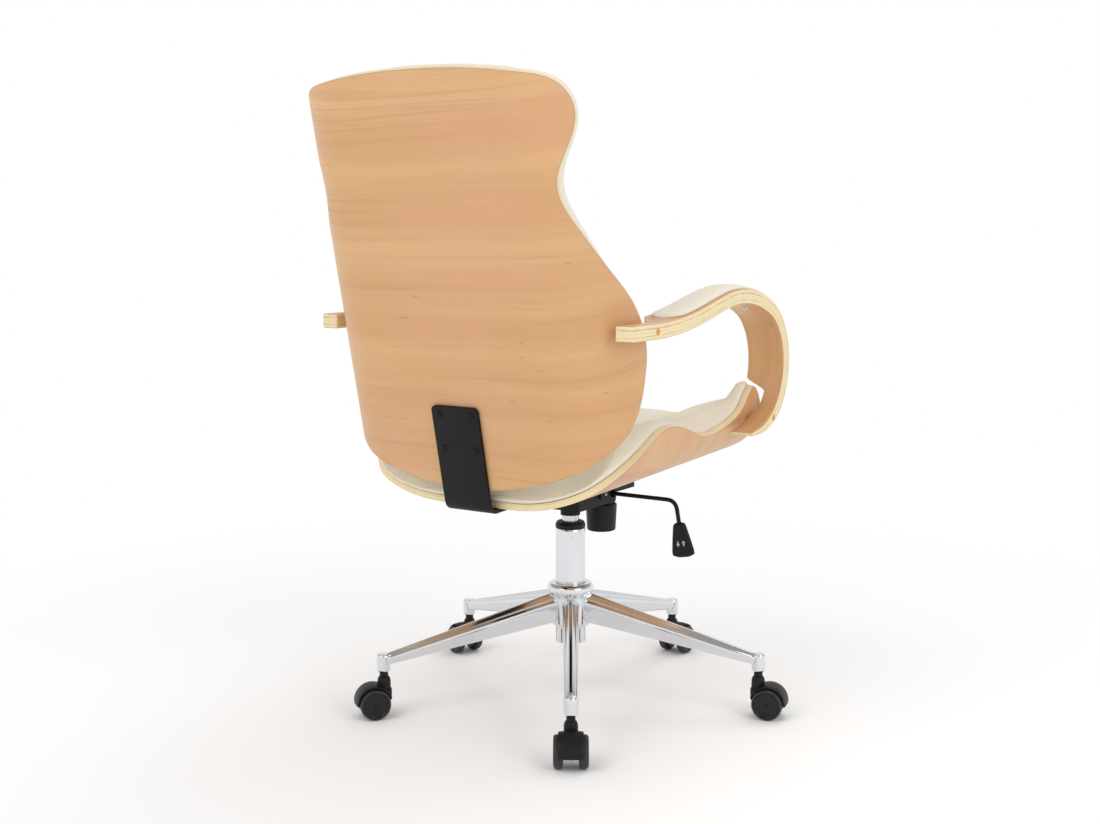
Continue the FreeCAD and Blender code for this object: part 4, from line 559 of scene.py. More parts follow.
class Pad:
    """A cushion on a panel as rings: its rear face, a rim that swells past the plywood, and its front."""

    def __init__(self, panel, height, proud, roll, slim):
        base, seam = sizes().ply + PAD_GAP, sizes().seam
        widest = 0.36
        under = np.radians(np.linspace(90, 12, 7))
        over = np.radians(np.concatenate([np.linspace(0, 21, 5), [24, 25.5, 27, 28.5, 30],
                                          np.linspace(34, 90, 12)]))
        self.seam_row = 5 + len(under) + 7
        dent = seam * np.exp(-((np.degrees(over) - 27) / 1.6) ** 2)
        low, high = (1 - np.cos(turn[:, None, None]) for turn in (under, over))
        spread = np.concatenate([proud - (proud + 0.003) * low,
                                 proud - (proud + roll) * high - dent[:, None, None]])
        share = np.concatenate([widest * (1 - np.sin(under)), widest + (1 - widest) * np.sin(over)])
        rear = panel.rings(0.003, [0.02, 0.25, 0.5, 0.75, 0.96])
        rim = panel.line + spread * panel.out
        front = panel.rings(roll, np.concatenate([[0.985, 0.965], np.linspace(0.94, 0.02, 44)]))
        flat = np.concatenate([rear, rim, front])
        part = np.concatenate([np.zeros(len(rear)), share, np.ones(len(front))])[:, None]
        thick = height(flat[..., 0], flat[..., 1]) - base
        depth = base + part * thick
        reach = np.linalg.norm(flat - panel.centre, axis=-1)
        edge = np.linalg.norm(panel.line - panel.centre, axis=-1)
        crown = np.clip(1 - (reach / edge) ** 2, 0, 1)
        depth = depth - part * slim * crown
        self.flat = flat
        self.grid = panel.lift(flat, depth)
        self.held = np.arange(len(flat)) < len(rear) + 3

    def skin(self):
        return Skin().add(self.grid, 0, self.flat)


def back_height(across, along):
    """The back cushion is full in the middle and thins towards the wings."""
    return sizes().back_pad - 0.0077 * np.clip(np.abs(across) / 0.15, 0, 1) ** 2


def back_rim(panel):
    """The back cushion swells most beside the waist and shoulders, and least along the top and the foot."""
    beside = (1 - panel.out[:, 1:] ** 2) * (0.4 + 0.6 * ease(0.05, 0.22, panel.line[:, 1:]))
    return sizes().back_proud - sizes().back_tuck * (1 - beside)


def seat_rim(panel):
    """The seat cushion swells evenly all round."""
    return np.full((panel.count, 1), sizes().seat_proud)


def seat_height(across, along):
    """The seat cushion is full in front, thin in the lobes, and slopes down at the rear under the back."""
    aside = np.abs(across)
    crown = 0.008 * ease(-0.10, 0.02, along) * (1 - ease(0.22, 0.30, aside))
    lobe = 0.030 * ease(0.25, 0.33, aside) * ease(0.03, 0.13, along)
    fall = 0.0209 - 0.0090 * ease(-0.05, 0.08, along)
    full = sizes().seat_pad + crown - fall * ease(0.04, 0.20, aside) - lobe
    lip = sizes().ply + PAD_GAP
    return lip + (full - lip) * (0.17 + 0.83 * ease(-0.256, -0.172, along))


def stitches(line, normal, pitch, long, thick):
    """Short rounded threads laid along a line on a surface, each a small closed tube."""
    closed = np.concatenate([line, line[:1]])
    run = lengths(closed)
    places = np.arange(pitch, run[-1] - pitch, pitch)
    share = np.array([-0.5, -0.42, 0, 0.42, 0.5])
    lift = np.array([-0.2, 0.35, 0.6, 0.35, -0.2])
    fat = np.array([0.35, 0.9, 1.0, 0.9, 0.35])
    where = places[:, None] + long * share
    at = sample(where, run, closed)
    out = unit(sample(where, run, np.concatenate([normal, normal[:1]])))
    side = unit(np.cross(np.gradient(at, axis=1), out))
    angle = circle(6)
    ring = np.cos(angle)[:, None] * side[..., None, :] + np.sin(angle)[:, None] * out[..., None, :]
    centre = at + out * (thick * lift)[:, None]
    return centre[..., None, :] + (thick * fat)[:, None, None] * ring


def row_normals(grid, row):
    """The outward direction of a closed grid along one of its rows."""
    along = grid[row + 1] - grid[row - 1]
    round_it = np.roll(grid[row], -1, 0) - np.roll(grid[row], 1, 0)
    out = unit(np.cross(along, round_it))
    away = grid[row] - grid.reshape(-1, 3).mean(0)
    return out * np.sign(np.einsum("ij,ij->", out, away))


# Finishes


def maths(operation, swapped=False):
    """A method of a socket that adds a maths node with another socket or number."""
    def method(self, other=0.0):
        one, two = (other, self) if swapped else (self, other)
        return self.board.node("Math", {"operation": operation}, {0: one, 1: two})
    return method


class Value:
    """A shader socket that takes part in sums."""

    def __init__(self, board, socket):
        self.board, self.socket = board, socket

    __add__ = maths("ADD")
    __radd__ = maths("ADD", True)
    __sub__ = maths("SUBTRACT")
    __rsub__ = maths("SUBTRACT", True)
    __mul__ = maths("MULTIPLY")
    __rmul__ = maths("MULTIPLY", True)
    __mod__ = maths("MODULO")
    __abs__ = maths("ABSOLUTE")


class Board:
    """The node board of one material."""

    def __init__(self, name):
        self.material = bpy.data.materials.new(name)
        self.material.use_nodes = True
        self.tree = self.material.node_tree
        self.shader = self.tree.nodes["Principled BSDF"]

    def node(self, kind, settings=(), sockets=(), out=0):
        """Adds a node: its settings first, then the values or links of its sockets."""
        made = self.tree.nodes.new("ShaderNode" + kind)
        for key, value in dict(settings).items():
            setattr(made, key, value)
        self.feed(made, sockets)
        return Value(self, made.outputs[out])

    def feed(self, node, sockets):
        for key, value in dict(sockets).items():
            if isinstance(value, Value):
                self.tree.links.new(value.socket, node.inputs[key])
            else:
                node.inputs[key].default_value = value

    def surface(self, **sockets):
        """Sets the shader's sockets; a name's underscores stand for spaces."""
        self.feed(self.shader, {key.replace("_", " "): value for key, value in sockets.items()})

    def parts(self, vector):
        split = self.node("SeparateXYZ", (), {0: vector})
        return [Value(self, split.socket.node.outputs[axis]) for axis in range(3)]

    def noise(self, x, y, z, detail=2.0):
        """Noise at a point whose parts are scaled beforehand."""
        point = self.node("CombineXYZ", (), {0: x, 1: y, 2: z})
        return self.node("TexNoise", (), {"Vector": point, "Scale": 1.0, "Detail": detail})

    def cloud(self, scale, detail=2.0):
        """Noise over the piece in its own place."""
        place = self.node("TexCoord", (), (), 3)
        return self.node("TexNoise", (), {"Vector": place, "Scale": scale, "Detail": detail})

    def band(self, value, low, high):
        """Zero under low, one over high, smooth between."""
        return self.node("MapRange", {"interpolation_type": "SMOOTHSTEP"}, {0: value, 1: low, 2: high})

    def mix(self, share, one, two):
        """A blend of two shades, each a socket, a value or the name of a colour."""
        one, two = (paint(shade) if isinstance(shade, str) else shade for shade in (one, two))
        return self.node("Mix", {"data_type": "RGBA"}, {0: share, 6: one, 7: two}, 2)

    def bump(self, height, distance, strength=1.0):
        return self.node("Bump", (), {"Strength": strength, "Distance": distance, "Height": height})


def paint(name):
    """One of the chair's colours with full alpha."""
    return (*getattr(colours(), name), 1.0)


def veneer(board):
    """Sliced wood: long streaks, soft bands that wander, thin growth lines, fine pores, satin lacquer."""
    along, across, _ = board.parts(board.node("UVMap", {"uv_map": "grain"}))
    drift = board.noise(along * 1.7, across * 4.5, 1.3, 2.0) - 0.5
    bent = across + drift * 0.030
    figure = board.noise(along * 0.9, bent * 17.0, 4.2, 2.0)
    streak = board.noise(along * 1.6, bent * 80.0, 8.1, 3.0)
    fibre = board.noise(along * 9.0, bent * 900.0, 2.7, 2.0)
    clouds = board.band(board.noise(along * 6.0, across * 7.0, 9.7, 2.0), 0.36, 0.66)
    wave = board.node("Math", {"operation": "SINE"}, {0: bent * 260.0 + figure * 26.0})
    lines = board.band(wave, 0.62, 1.0) * board.band(board.noise(along * 2.0, bent * 7.0, 6.4), 0.46, 0.66)
    pores = board.band(board.noise(along * 70.0, bent * 1500.0, 5.5, 1.0), 0.60, 0.74)
    flecks = board.band(board.noise(along * 34.0, across * 150.0, 3.1, 0.0), 0.80, 0.86)
    warm = board.mix(clouds * 0.85, "veneer", "veneer_rose")
    pale = board.mix(board.band(figure, 0.36, 0.70) * 0.60, warm, "veneer_pale")
    deep = board.band(streak, 0.50, 0.80) * 0.24 + lines * 0.20 + board.band(fibre, 0.5, 0.9) * 0.12
    tint = board.mix(deep + pores * 0.10 + flecks * 0.40, pale, "veneer_dark")
    board.surface(Base_Color=tint, Roughness=0.36 + fibre * 0.12 + pores * 0.06, Coat_Weight=0.12,
                  Coat_Roughness=0.22, Normal=board.bump(fibre + pores * -0.6 + streak * 0.4, 0.00012, 0.35))


def ply_edge(board):
    """The cut edge of plywood: plies in two tones, faint glue lines, two strong broken ones, face veneers."""
    depth = board.node("Attribute", {"attribute_name": "ply"}, (), 2)
    layer = depth * 7.0
    other = board.band((layer * 0.5) % 1.0, 0.47, 0.53)
    broken = board.band(board.cloud(34.0, 3.0), 0.38, 0.60)
    grain = board.cloud(420.0, 2.0)
    faint = board.band(abs(layer % 1.0 - 0.5), 0.43, 0.49)
    upper = 1.0 - board.band(abs(depth - 0.72), 0.018, 0.050)
    lower = 1.0 - board.band(abs(depth - 0.29), 0.014, 0.040)
    glue = faint * 0.16 + (upper * 0.62 + lower * 0.45) * (0.25 + 0.75 * broken)
    face = board.band(abs(depth - 0.5), 0.452, 0.468)
    wood = board.mix(other * 0.35 + grain * 0.25, "core", "core_dark")
    lined = board.mix(glue, wood, "glue")
    tint = board.mix(face * 0.8, lined, "veneer_dark")
    board.surface(Base_Color=tint, Roughness=0.42 + grain * 0.16, Coat_Weight=0.08, Coat_Roughness=0.3,
                  Normal=board.bump(grain * 0.4 - glue, 0.00015, 0.5))


def hide(board):
    """Soft leatherette: pebbled grain with fine creases, a little mottling and a low sheen; the darker colour
    in the creases and between the pebbles is painted shade.
    """
    place = board.node("TexCoord", (), (), 3)
    wander = board.node("TexNoise", (), {"Vector": place, "Scale": 260.0, "Detail": 2.0}, 1)
    bent = board.node("VectorMath", {"operation": "MULTIPLY_ADD"},
                      {0: wander, 1: (0.0012, 0.0012, 0.0012), 2: place})
    pebble = board.node("TexVoronoi", {"feature": "SMOOTH_F1"},
                        {"Vector": bent, "Scale": 620.0, "Smoothness": 0.4})
    crease = board.band(board.cloud(150.0, 4.0), 0.54, 0.72)
    mottle = board.cloud(11.0, 3.0)
    # Mottle is the cover's own tone; the pebble and crease parts darken the grain's hollows and the creases
    # as painted shade.
    shade = board.mix(mottle * 0.34 + pebble * 0.22 + crease * 0.10, "hide", "hide_dark")
    board.surface(Base_Color=shade, Roughness=0.46 + pebble * 0.16, Specular_IOR_Level=0.42,
                  Normal=board.bump(crease * -0.5 - pebble, 0.00022, 0.42))


def thread(board):
    """Twisted thread: fine diagonal strands."""
    strand = board.cloud(1600.0, 1.0)
    board.surface(Base_Color=board.mix(strand * 0.5, "thread", "hide_dark"), Roughness=0.7,
                  Normal=board.bump(strand, 0.0001, 0.4))


def plug_wood(board):
    """End grain of a golden plug: rings and pores."""
    pore = board.cloud(900.0, 2.0)
    ring = board.cloud(240.0, 1.0)
    board.surface(Base_Color=board.mix(pore * 0.3 + ring * 0.3, "plug", "veneer_dark"),
                  Roughness=0.38 + pore * 0.15, Normal=board.bump(pore, 0.0001, 0.4))


def chrome(board):
    """Polished plating: near mirror, with faint waves in the casting and fine wipe marks."""
    wipe = board.cloud(900.0, 3.0)
    wave = board.cloud(34.0, 2.0)
    board.surface(Base_Color=paint("chrome"), Metallic=1.0, Roughness=0.09 + wipe * 0.06,
                  Normal=board.bump(wave, 0.00025, 0.25))


def bright_steel(board):
    """Ground steel: fine rings from the grinding wheel."""
    _, _, high = board.parts(board.node("TexCoord", (), (), 3))
    ring = board.noise(high * 4200.0, 0.0, 0.5, 2.0)
    board.surface(Base_Color=paint("steel"), Metallic=1.0, Roughness=0.14 + ring * 0.12,
                  Normal=board.bump(ring, 0.00002, 0.4))


def black_steel(board):
    """Powder coat: a fine orange-peel skin on black."""
    peel = board.cloud(1300.0, 2.0)
    dust = board.cloud(45.0, 3.0)
    board.surface(Base_Color=board.mix(dust * 0.25, "black", "tread"),
                  Roughness=0.42 + peel * 0.12, Specular_IOR_Level=0.2, Normal=board.bump(peel, 0.00008, 0.5))


def black_plastic(board):
    """Moulded plastic: a fine spark texture and slight flow marks."""
    spark = board.cloud(2200.0, 2.0)
    flow = board.cloud(30.0, 2.0)
    board.surface(Base_Color=board.mix(flow * 0.22, "black", "tread"),
                  Roughness=0.38 + spark * 0.14, Specular_IOR_Level=0.25,
                  Normal=board.bump(spark, 0.00005, 0.45))


def gloss_plastic(board):
    """Smooth moulded discs: a deeper black with a clear shine and small scuffs."""
    scuff = board.band(board.cloud(160.0, 4.0), 0.55, 0.75)
    board.surface(Base_Color=board.mix(scuff * 0.2, "black", "tread"),
                  Roughness=0.22 + scuff * 0.16, Specular_IOR_Level=0.35)


def tread(board):
    """Nylon tread: dark grey, dulled and finely scratched by the floor."""
    wear = board.cloud(300.0, 4.0)
    board.surface(Base_Color=board.mix(wear * 0.5, "tread", "black"),
                  Roughness=0.34 + wear * 0.2, Normal=board.bump(wear, 0.00008, 0.4))


def mark_print(board):
    """Pad print: pale and matt, thin at its edges."""
    speck = board.cloud(1500.0, 2.0)
    board.surface(Base_Color=board.mix(speck * 0.2, "mark", "tread"), Roughness=0.6)


FINISHES = {made.__name__: made for made in (
    veneer, ply_edge, hide, thread, plug_wood, chrome, bright_steel, black_steel, black_plastic,
    gloss_plastic, tread, mark_print)}


def finish(name):
    """The material of a finish, made when it is first wanted."""
    title = f"{name}_finish"
    if title not in bpy.data.materials:
        FINISHES[name](Board(title))
    return bpy.data.materials[title]


# Operators


class Maker(bpy.types.Operator):
    """Common ground of the chair's operators."""

    bl_idname = "chair.maker"
    bl_label = "Make"
    bl_options = {"REGISTER", "UNDO"}

    def execute(self, context):
        self.make()
        return {"FINISHED"}

    def make(self):
        raise NotImplementedError(self.bl_idname)


class MakePlywood(Maker):
    """Bent plywood of the back and the seat"""

    bl_idname = "chair.make_plywood"
    bl_label = "Plywood"

    def make(self):
        for name, panel in (("back", back_panel()), ("seat", seat_panel())):
            plywood(panel).build(f"{name}_plywood", ["veneer", "ply_edge"], "seat", "veneer", f"{name}_shell")


class MakeCushions(Maker):
    """Leatherette cushions of the back and the seat, with their sewn rims"""

    bl_idname = "chair.make_cushions"
    bl_label = "Cushions"

    def make(self):
        size = sizes()
        for name, panel, height, rim, roll in (("back", back_panel(), back_height, back_rim, size.back_roll),
                                               ("seat", seat_panel(), seat_height, seat_rim, size.seat_roll)):
            pad = Pad(panel, height, rim(panel), roll, 0.004)
            pad.grid = swell(pad.grid, pad.held, 0.008, 0.006)
            made = pad.skin().build(f"{name}_upholstery", ["hide"], "seat", "leatherette", f"{name}_cushion")
            row = pad.seam_row + 3
            threads = stitches(pad.grid[row], row_normals(pad.grid, row), size.stitch, 0.0044, 0.00045)
            Skin(*threads).build(f"{name}_stitches", ["thread"], "seat", "leatherette")


def arm_line():
    """The middle of an arm's strip as (forward, up): a tail, a rise, a crown, the front bend and the hook."""
    return Bend((-0.281, 0.644), [(0.066, 0), arc(0.7, 12.5), (0.07, 0), arc(0.245, -37.5), arc(0.1, -65),
                                  arc(0.115, -80), (0.028, 0)])


class MakeArms(Maker):
    """Laminated arms, wide under their pads, narrow at both ends, and tapered in the hook"""

    bl_idname = "chair.make_arms"
    bl_label = "Arms"

    def make(self):
        size, line = sizes(), arm_line()
        half = 0.5 * size.arm_thickness
        stations = np.linspace(0, line.begin[-1], 260)
        y, z, _ = line.at(stations)
        narrow = np.maximum(1 - ease(-0.172, -0.136, y), 1 - ease(0.512, 0.536, z))
        inner = size.arm_outer - size.arm_wide + (size.arm_wide - size.arm_narrow) * narrow
        inner = inner - 0.011 * (1 - ease(0.458, 0.490, z))
        hook = np.clip((stations - HOOK_START) / (line.begin[-1] - HOOK_START), 0, 1)
        outside = half - ARM_TAPER * hook ** 1.5
        grid, around, beside, along = strip(line, stations, inner, size.arm_outer, -half, outside, 0.0026)
        ply = 0.5 + beside / size.arm_thickness
        marks = section_marks(around, len(grid))
        grain = np.stack([along[:, None] + 0 * ply, grid[..., 0] + 0.5 * beside], -1)
        for side, sign in SIDES.items():
            skin = Skin().add(grid * [sign, 1, 1], marks, grain + [0, 3.0 + sign], ply)
            skin.build(f"arm_bow_{side}", ["veneer", "ply_edge"], "seat", "veneer", f"arm_{side}")


class MakeArmPads(Maker):
    """Soft leatherette pads along the tops of the arms"""

    bl_idname = "chair.make_arm_pads"
    bl_label = "Arm pads"

    def make(self):
        size, line = sizes(), arm_line()
        start, end, low = 0.134, 0.490, 0.5 * size.arm_thickness + 0.0002
        share = np.sin(np.linspace(-0.5, 0.5, 90) * np.pi * 0.995)
        along = 0.5 * (start + end) + 0.5 * (end - start) * share
        nose = np.minimum(along - start, end - along)
        width = 0.027 * np.clip(1 - (1 - np.clip(nose / 0.034, 0, 1)) ** 2.3, 0.02, 1) ** 0.5
        rise = (size.arm_pad - 0.001) * np.clip(1 - (1 - np.clip(nose / 0.016, 0, 1)) ** 2.2, 0.04, 1) ** 0.5
        angle = circle(72)
        cos, sin = np.cos(angle), np.sin(angle)
        across = bulge(cos, 0.55)
        above = np.where(sin > 0, np.abs(sin) ** 0.62, -0.0)
        below = np.where(sin < 0, -np.abs(sin) ** 0.3, 0.0)
        beside = low + rise[:, None] * (0.26 + 0.74 * above + 0.26 * below)
        x = size.arm_outer - 0.5 * size.arm_wide + width[:, None] * across
        y, z, _ = line.at(along[:, None] + 0 * beside, beside)
        grid = np.stack([x, y, z], -1)
        held = np.zeros(len(grid), bool)
        held[[0, -1]] = True
        resting = beside < low + 0.1 * size.arm_pad
        blown = swell(grid, held, 0.005, 0.0012)
        grid = np.where(resting[..., None], grid, blown)
        for side, sign in SIDES.items():
            skin = Skin(grid * [sign, 1, 1])
            made = skin.build(f"arm_cushion_{side}", ["hide"], "seat", "leatherette", f"arm_pad_{side}")


def around_base(grid, leg):
    """Turns a shape built along +X to the heading of a leg."""
    return grid @ turn_about("Z", LEG_HEADING + 360 / LEGS * leg).T


def at_stem(grid, leg):
    """Sets a shape made about a castor's stem in its place at the end of a leg."""
    return around_base(grid + [STEM_CIRCLE, 0, 0], leg)


class MakeBase(Maker):
    """Polished five-legged base: a turned hub, ridged tapering legs and round sockets"""

    bl_idname = "chair.make_base"
    bl_label = "Base"

    def make(self):
        hub = turned([(0.0251, 0.123), (0.026, 0.123), (0.032, 0.130), (0.0325, 0.150), (0.0335, 0.178),
                      (0.039, 0.186), (0.039, 0.194), (0.035, 0.199), (0.0251, 0.199)], 0.0022, 128, True)
        skin = Skin().add(hub, ends=False)
        root = 0.028
        outward = np.concatenate([np.linspace(0.024, 0.060, 10), np.linspace(0.075, 0.318, 26)])
        share = (outward - root) / (STEM_CIRCLE - root)
        top = 0.184 + (0.102 - 0.184) * share
        deep = 0.050 + (0.017 - 0.050) * share
        half = 0.5 * (0.027 + (0.020 - 0.027) * share) * (1 + 0.14 * np.exp(-(outward - root) / 0.012))
        ridge = [(0.0, 0.0), (0.20, 0.0), (0.62, 0.16), (0.70, 0.22), (0.96, 0.30), (1.0, 0.42), (0.72, 0.97),
                 (0.60, 1.0)]
        mirrored = [(-wide, low) for wide, low in ridge[:0:-1]]
        loop = eased(ridge + mirrored, 0.09, closed=True)
        y = half[:, None] * loop[:, 0]
        z = top[:, None] - deep[:, None] * loop[:, 1]
        leg = np.stack([outward[:, None] + 0 * y, y, z], -1)
        cup = turned([(0.0, 0.1035), (0.0098, 0.1030), (0.011, 0.1000), (0.011, 0.077), (0.0098, 0.075),
                      (0.0062, 0.075), (0.0058, 0.0765), (0.0, 0.0765)], 0.0016, 48)
        for number in range(LEGS):
            skin.add(around_base(leg, number))
            skin.add(at_stem(cup, number))
        skin.build("base_star", ["chrome"], "base", "chrome", "star_base")


class MakeCastors(Maker):
    """Twin-wheel castors: a hood with its mudguard, and two dished wheels each"""

    bl_idname = "chair.make_castors"
    bl_label = "Castors"

    def make(self):
        radius = sizes().wheel
        wheel = eased([(0.0, 0.0), (0.0185, 0.0), (0.0205, 0.0012), (0.0235, 0.0012), (radius, 0.0035),
                       (radius, 0.0112), (0.0232, 0.0142), (0.0205, 0.0150), (0.0196, 0.0138),
                       (0.0186, 0.0134), (0.0085, 0.0143), (0.0, 0.0152)], 0.0011)[1:-1]
        disc = lathe(wheel, 72)
        marks = np.where(wheel[:-1, :1] > 0.0222, 1, 0) * np.ones(72, int)
        boss = turned([(0.0, 0.040), (0.011, 0.040), (0.0108, 0.060), (0.0088, 0.0655), (0.0072, 0.0662),
                       (0.0, 0.0662)], 0.0025, 48)
        shapes = self.guard(), self.web(), boss
        for number in range(LEGS):
            name = f"castor_{number + 1}"
            hood = Skin(*(at_stem(shape, number) for shape in shapes))
            hood.build(f"{name}_cover", ["black_plastic"], name, "black_plastic", f"{name}_hood")
            for side, sign in SIDES.items():
                across = sign * (disc[..., 2] + 0.0115)
                placed = np.stack([disc[..., 0] + AXLE_TRAIL, across, disc[..., 1] + radius], -1)
                roller = Skin().add(at_stem(placed, number), marks)
                roller.build(f"{name}_roller_{side}", ["gloss_plastic", "tread"], f"{name}_{side}",
                             "black_plastic", f"{name}_wheel_{side}")

    @staticmethod
    def guard():
        """A curved plate swept round the axle: a rounded rectangle turned by an angle, its ends drawn in."""
        turn = np.radians(np.linspace(-6, 166, 54))
        shrink = np.clip(np.minimum(turn - turn[0], turn[-1] - turn) / math.radians(3.2), 0, 1)
        shrink = np.maximum(1 - (1 - shrink) ** 2, 0.05) ** 0.5
        loop = eased([(-1, -1), (1, -1), (1, 1), (-1, 1)], 0.5, closed=True, steps=6)
        wide = 0.019 - 0.0035 * (1 - shrink)
        thick = 0.0014 * shrink
        crown = 0.0012 * (1 - loop[:, 1] ** 2)
        across = wide[:, None] * loop[:, 1]
        reach = GUARD_RADIUS + thick[:, None] * loop[:, 0] + crown * (loop[:, 0] > 0)
        x = AXLE_TRAIL + reach * np.cos(turn)[:, None]
        return np.stack([x, across, AXLE_HEIGHT + reach * np.sin(turn)[:, None]], -1)

    @staticmethod
    def web():
        """The block between the wheels: an upright outline carried across, with rounded sides."""
        crest = np.radians([15, 45, 75, 105])
        under = [(AXLE_TRAIL + GUARD_RADIUS * math.cos(turn), AXLE_HEIGHT + GUARD_RADIUS * math.sin(turn))
                 for turn in crest]
        outline = eased([(-0.0108, 0.028), (0.010, 0.017), (0.026, 0.017), *under, (-0.0108, 0.050)], 0.004,
                        closed=True)
        middle, half = outline.mean(0), 0.0110
        fold = np.radians([90, 60, 30, 0])
        drawn = 1 - 0.06 * (1 - np.cos(fold))
        edge = half - 0.0012 * (1 - np.sin(fold))
        inset = np.concatenate([[0.5, 0.9], drawn, drawn[::-1], [0.9, 0.5]])
        across = np.concatenate([[-half, -half], -edge, edge[::-1], [half, half]])
        flat = middle + (outline - middle) * inset[:, None, None]
        return np.stack([flat[..., 0], across[:, None] * np.ones(len(outline)), flat[..., 1]], -1)


class MakeColumn(Maker):
    """Gas column: a plated tube with a grooved rim, its black guide ring, and the bright strut"""

    bl_idname = "chair.make_column"
    bl_label = "Column"

    def make(self):
        wide, rod = sizes().tube, sizes().strut
        groove, bore = wide - 0.0006, rod + 0.0002
        sleeve = turned([(0.0155, 0.098), (wide, 0.098), (wide, 0.2010), (groove, 0.2014), (groove, 0.2026),
                         (wide, 0.2030), (wide, 0.2885), (wide - 0.0010, 0.2920), (0.0155, 0.2920)],
                        0.0008, 128, True)
        stud = turned([(0.0, 0.0), (0.0019, 0.0), (0.0019, 0.0005), (0.0012, 0.0010), (0.0, 0.0010)],
                      0.0004, 24)
        facing = np.stack([stud[..., 0], -stud[..., 2] - wide + 0.0002, stud[..., 1] + 0.2775], -1)
        skin = Skin().add(sleeve, ends=False).add(facing @ turn_about("Z", 37.0).T)
        skin.build("column_sleeve", ["chrome"], "base", "chrome", "column_tube")
        ring = turned([(bore, 0.285), (wide - 0.0030, 0.285), (wide - 0.0030, 0.2921), (wide, 0.2921),
                       (wide, 0.2985), (wide - 0.0025, 0.3030), (0.0180, 0.3030), (0.0172, 0.3020),
                       (bore, 0.3020)], 0.0010, 96, True)
        skin = Skin().add(ring, ends=False)
        skin.build("column_ring", ["black_plastic"], "base", "black_plastic", "column_bush")
        strut = turned([(0.0, 0.113), (rod, 0.113), (rod, 0.352), (0.0, 0.352)], 0.0015, 96)
        Skin(strut).build("gas_strut", ["bright_steel"], "lift", "bright_steel", "gas_cylinder")


class MakeTension(Maker):
    """Tension knob, a ribbed cup, with the coil spring that stands in it"""

    bl_idname = "chair.make_tension"
    bl_label = "Tension knob and spring"

    def make(self):
        forward = np.array([0.0, KNOB_FORWARD, 0.0])

        def ribs(angle, high, radius):
            """Shallow flutes round the outside, fading out before the rim and the foot."""
            outside = (radius > 0.0243) * ease(0.274, 0.279, high) * (1 - ease(0.306, 0.311, high))
            return radius - 0.00035 * outside * (0.5 + 0.5 * np.cos(40 * angle)) ** 2

        cup = turned([(0.0, 0.2725), (0.0150, 0.2725), (0.0165, 0.2710), (0.0230, 0.2710), (0.0246, 0.2728),
                      (0.0268, 0.3140), (0.0266, 0.3165), (0.0258, 0.3170), (0.0246, 0.3170),
                      (0.0240, 0.3155), (0.0216, 0.2925), (0.0206, 0.2920), (0.0, 0.2920)],
                     0.0008, 320, wobble=ribs)
        Skin(cup + forward).build("tension_cup", ["black_plastic"], "knob", "black_plastic", "tension_knob")
        low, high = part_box("tension_spring")
        wire, tall = sizes().spring_wire, high.z - low.z
        middle = low.z + 0.4 * tall
        pressed, lifted = 0.32 * tall, 0.0062
        for name, turns, bottom, top, joint, loss, reach in (
                ("spring_foot", (0, 2), low.z + wire, middle, "spring_seat_slide", lifted, middle - low.z),
                ("spring_coil", (2, 5), middle, high.z - wire, "seat_tilt", pressed, high.z - middle)):
            turn = 2 * np.pi * np.linspace(*turns, 180)
            rise = np.linspace(bottom, top, 180)
            path = np.stack([0.017 * np.cos(turn), 0.017 * np.sin(turn), rise], -1) + forward
            skin = Skin(tube(path, wire, 14, wire * 0.4))
            made = skin.build(name, ["black_steel"], "seat", "black_steel", "tension_spring")
            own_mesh(made)


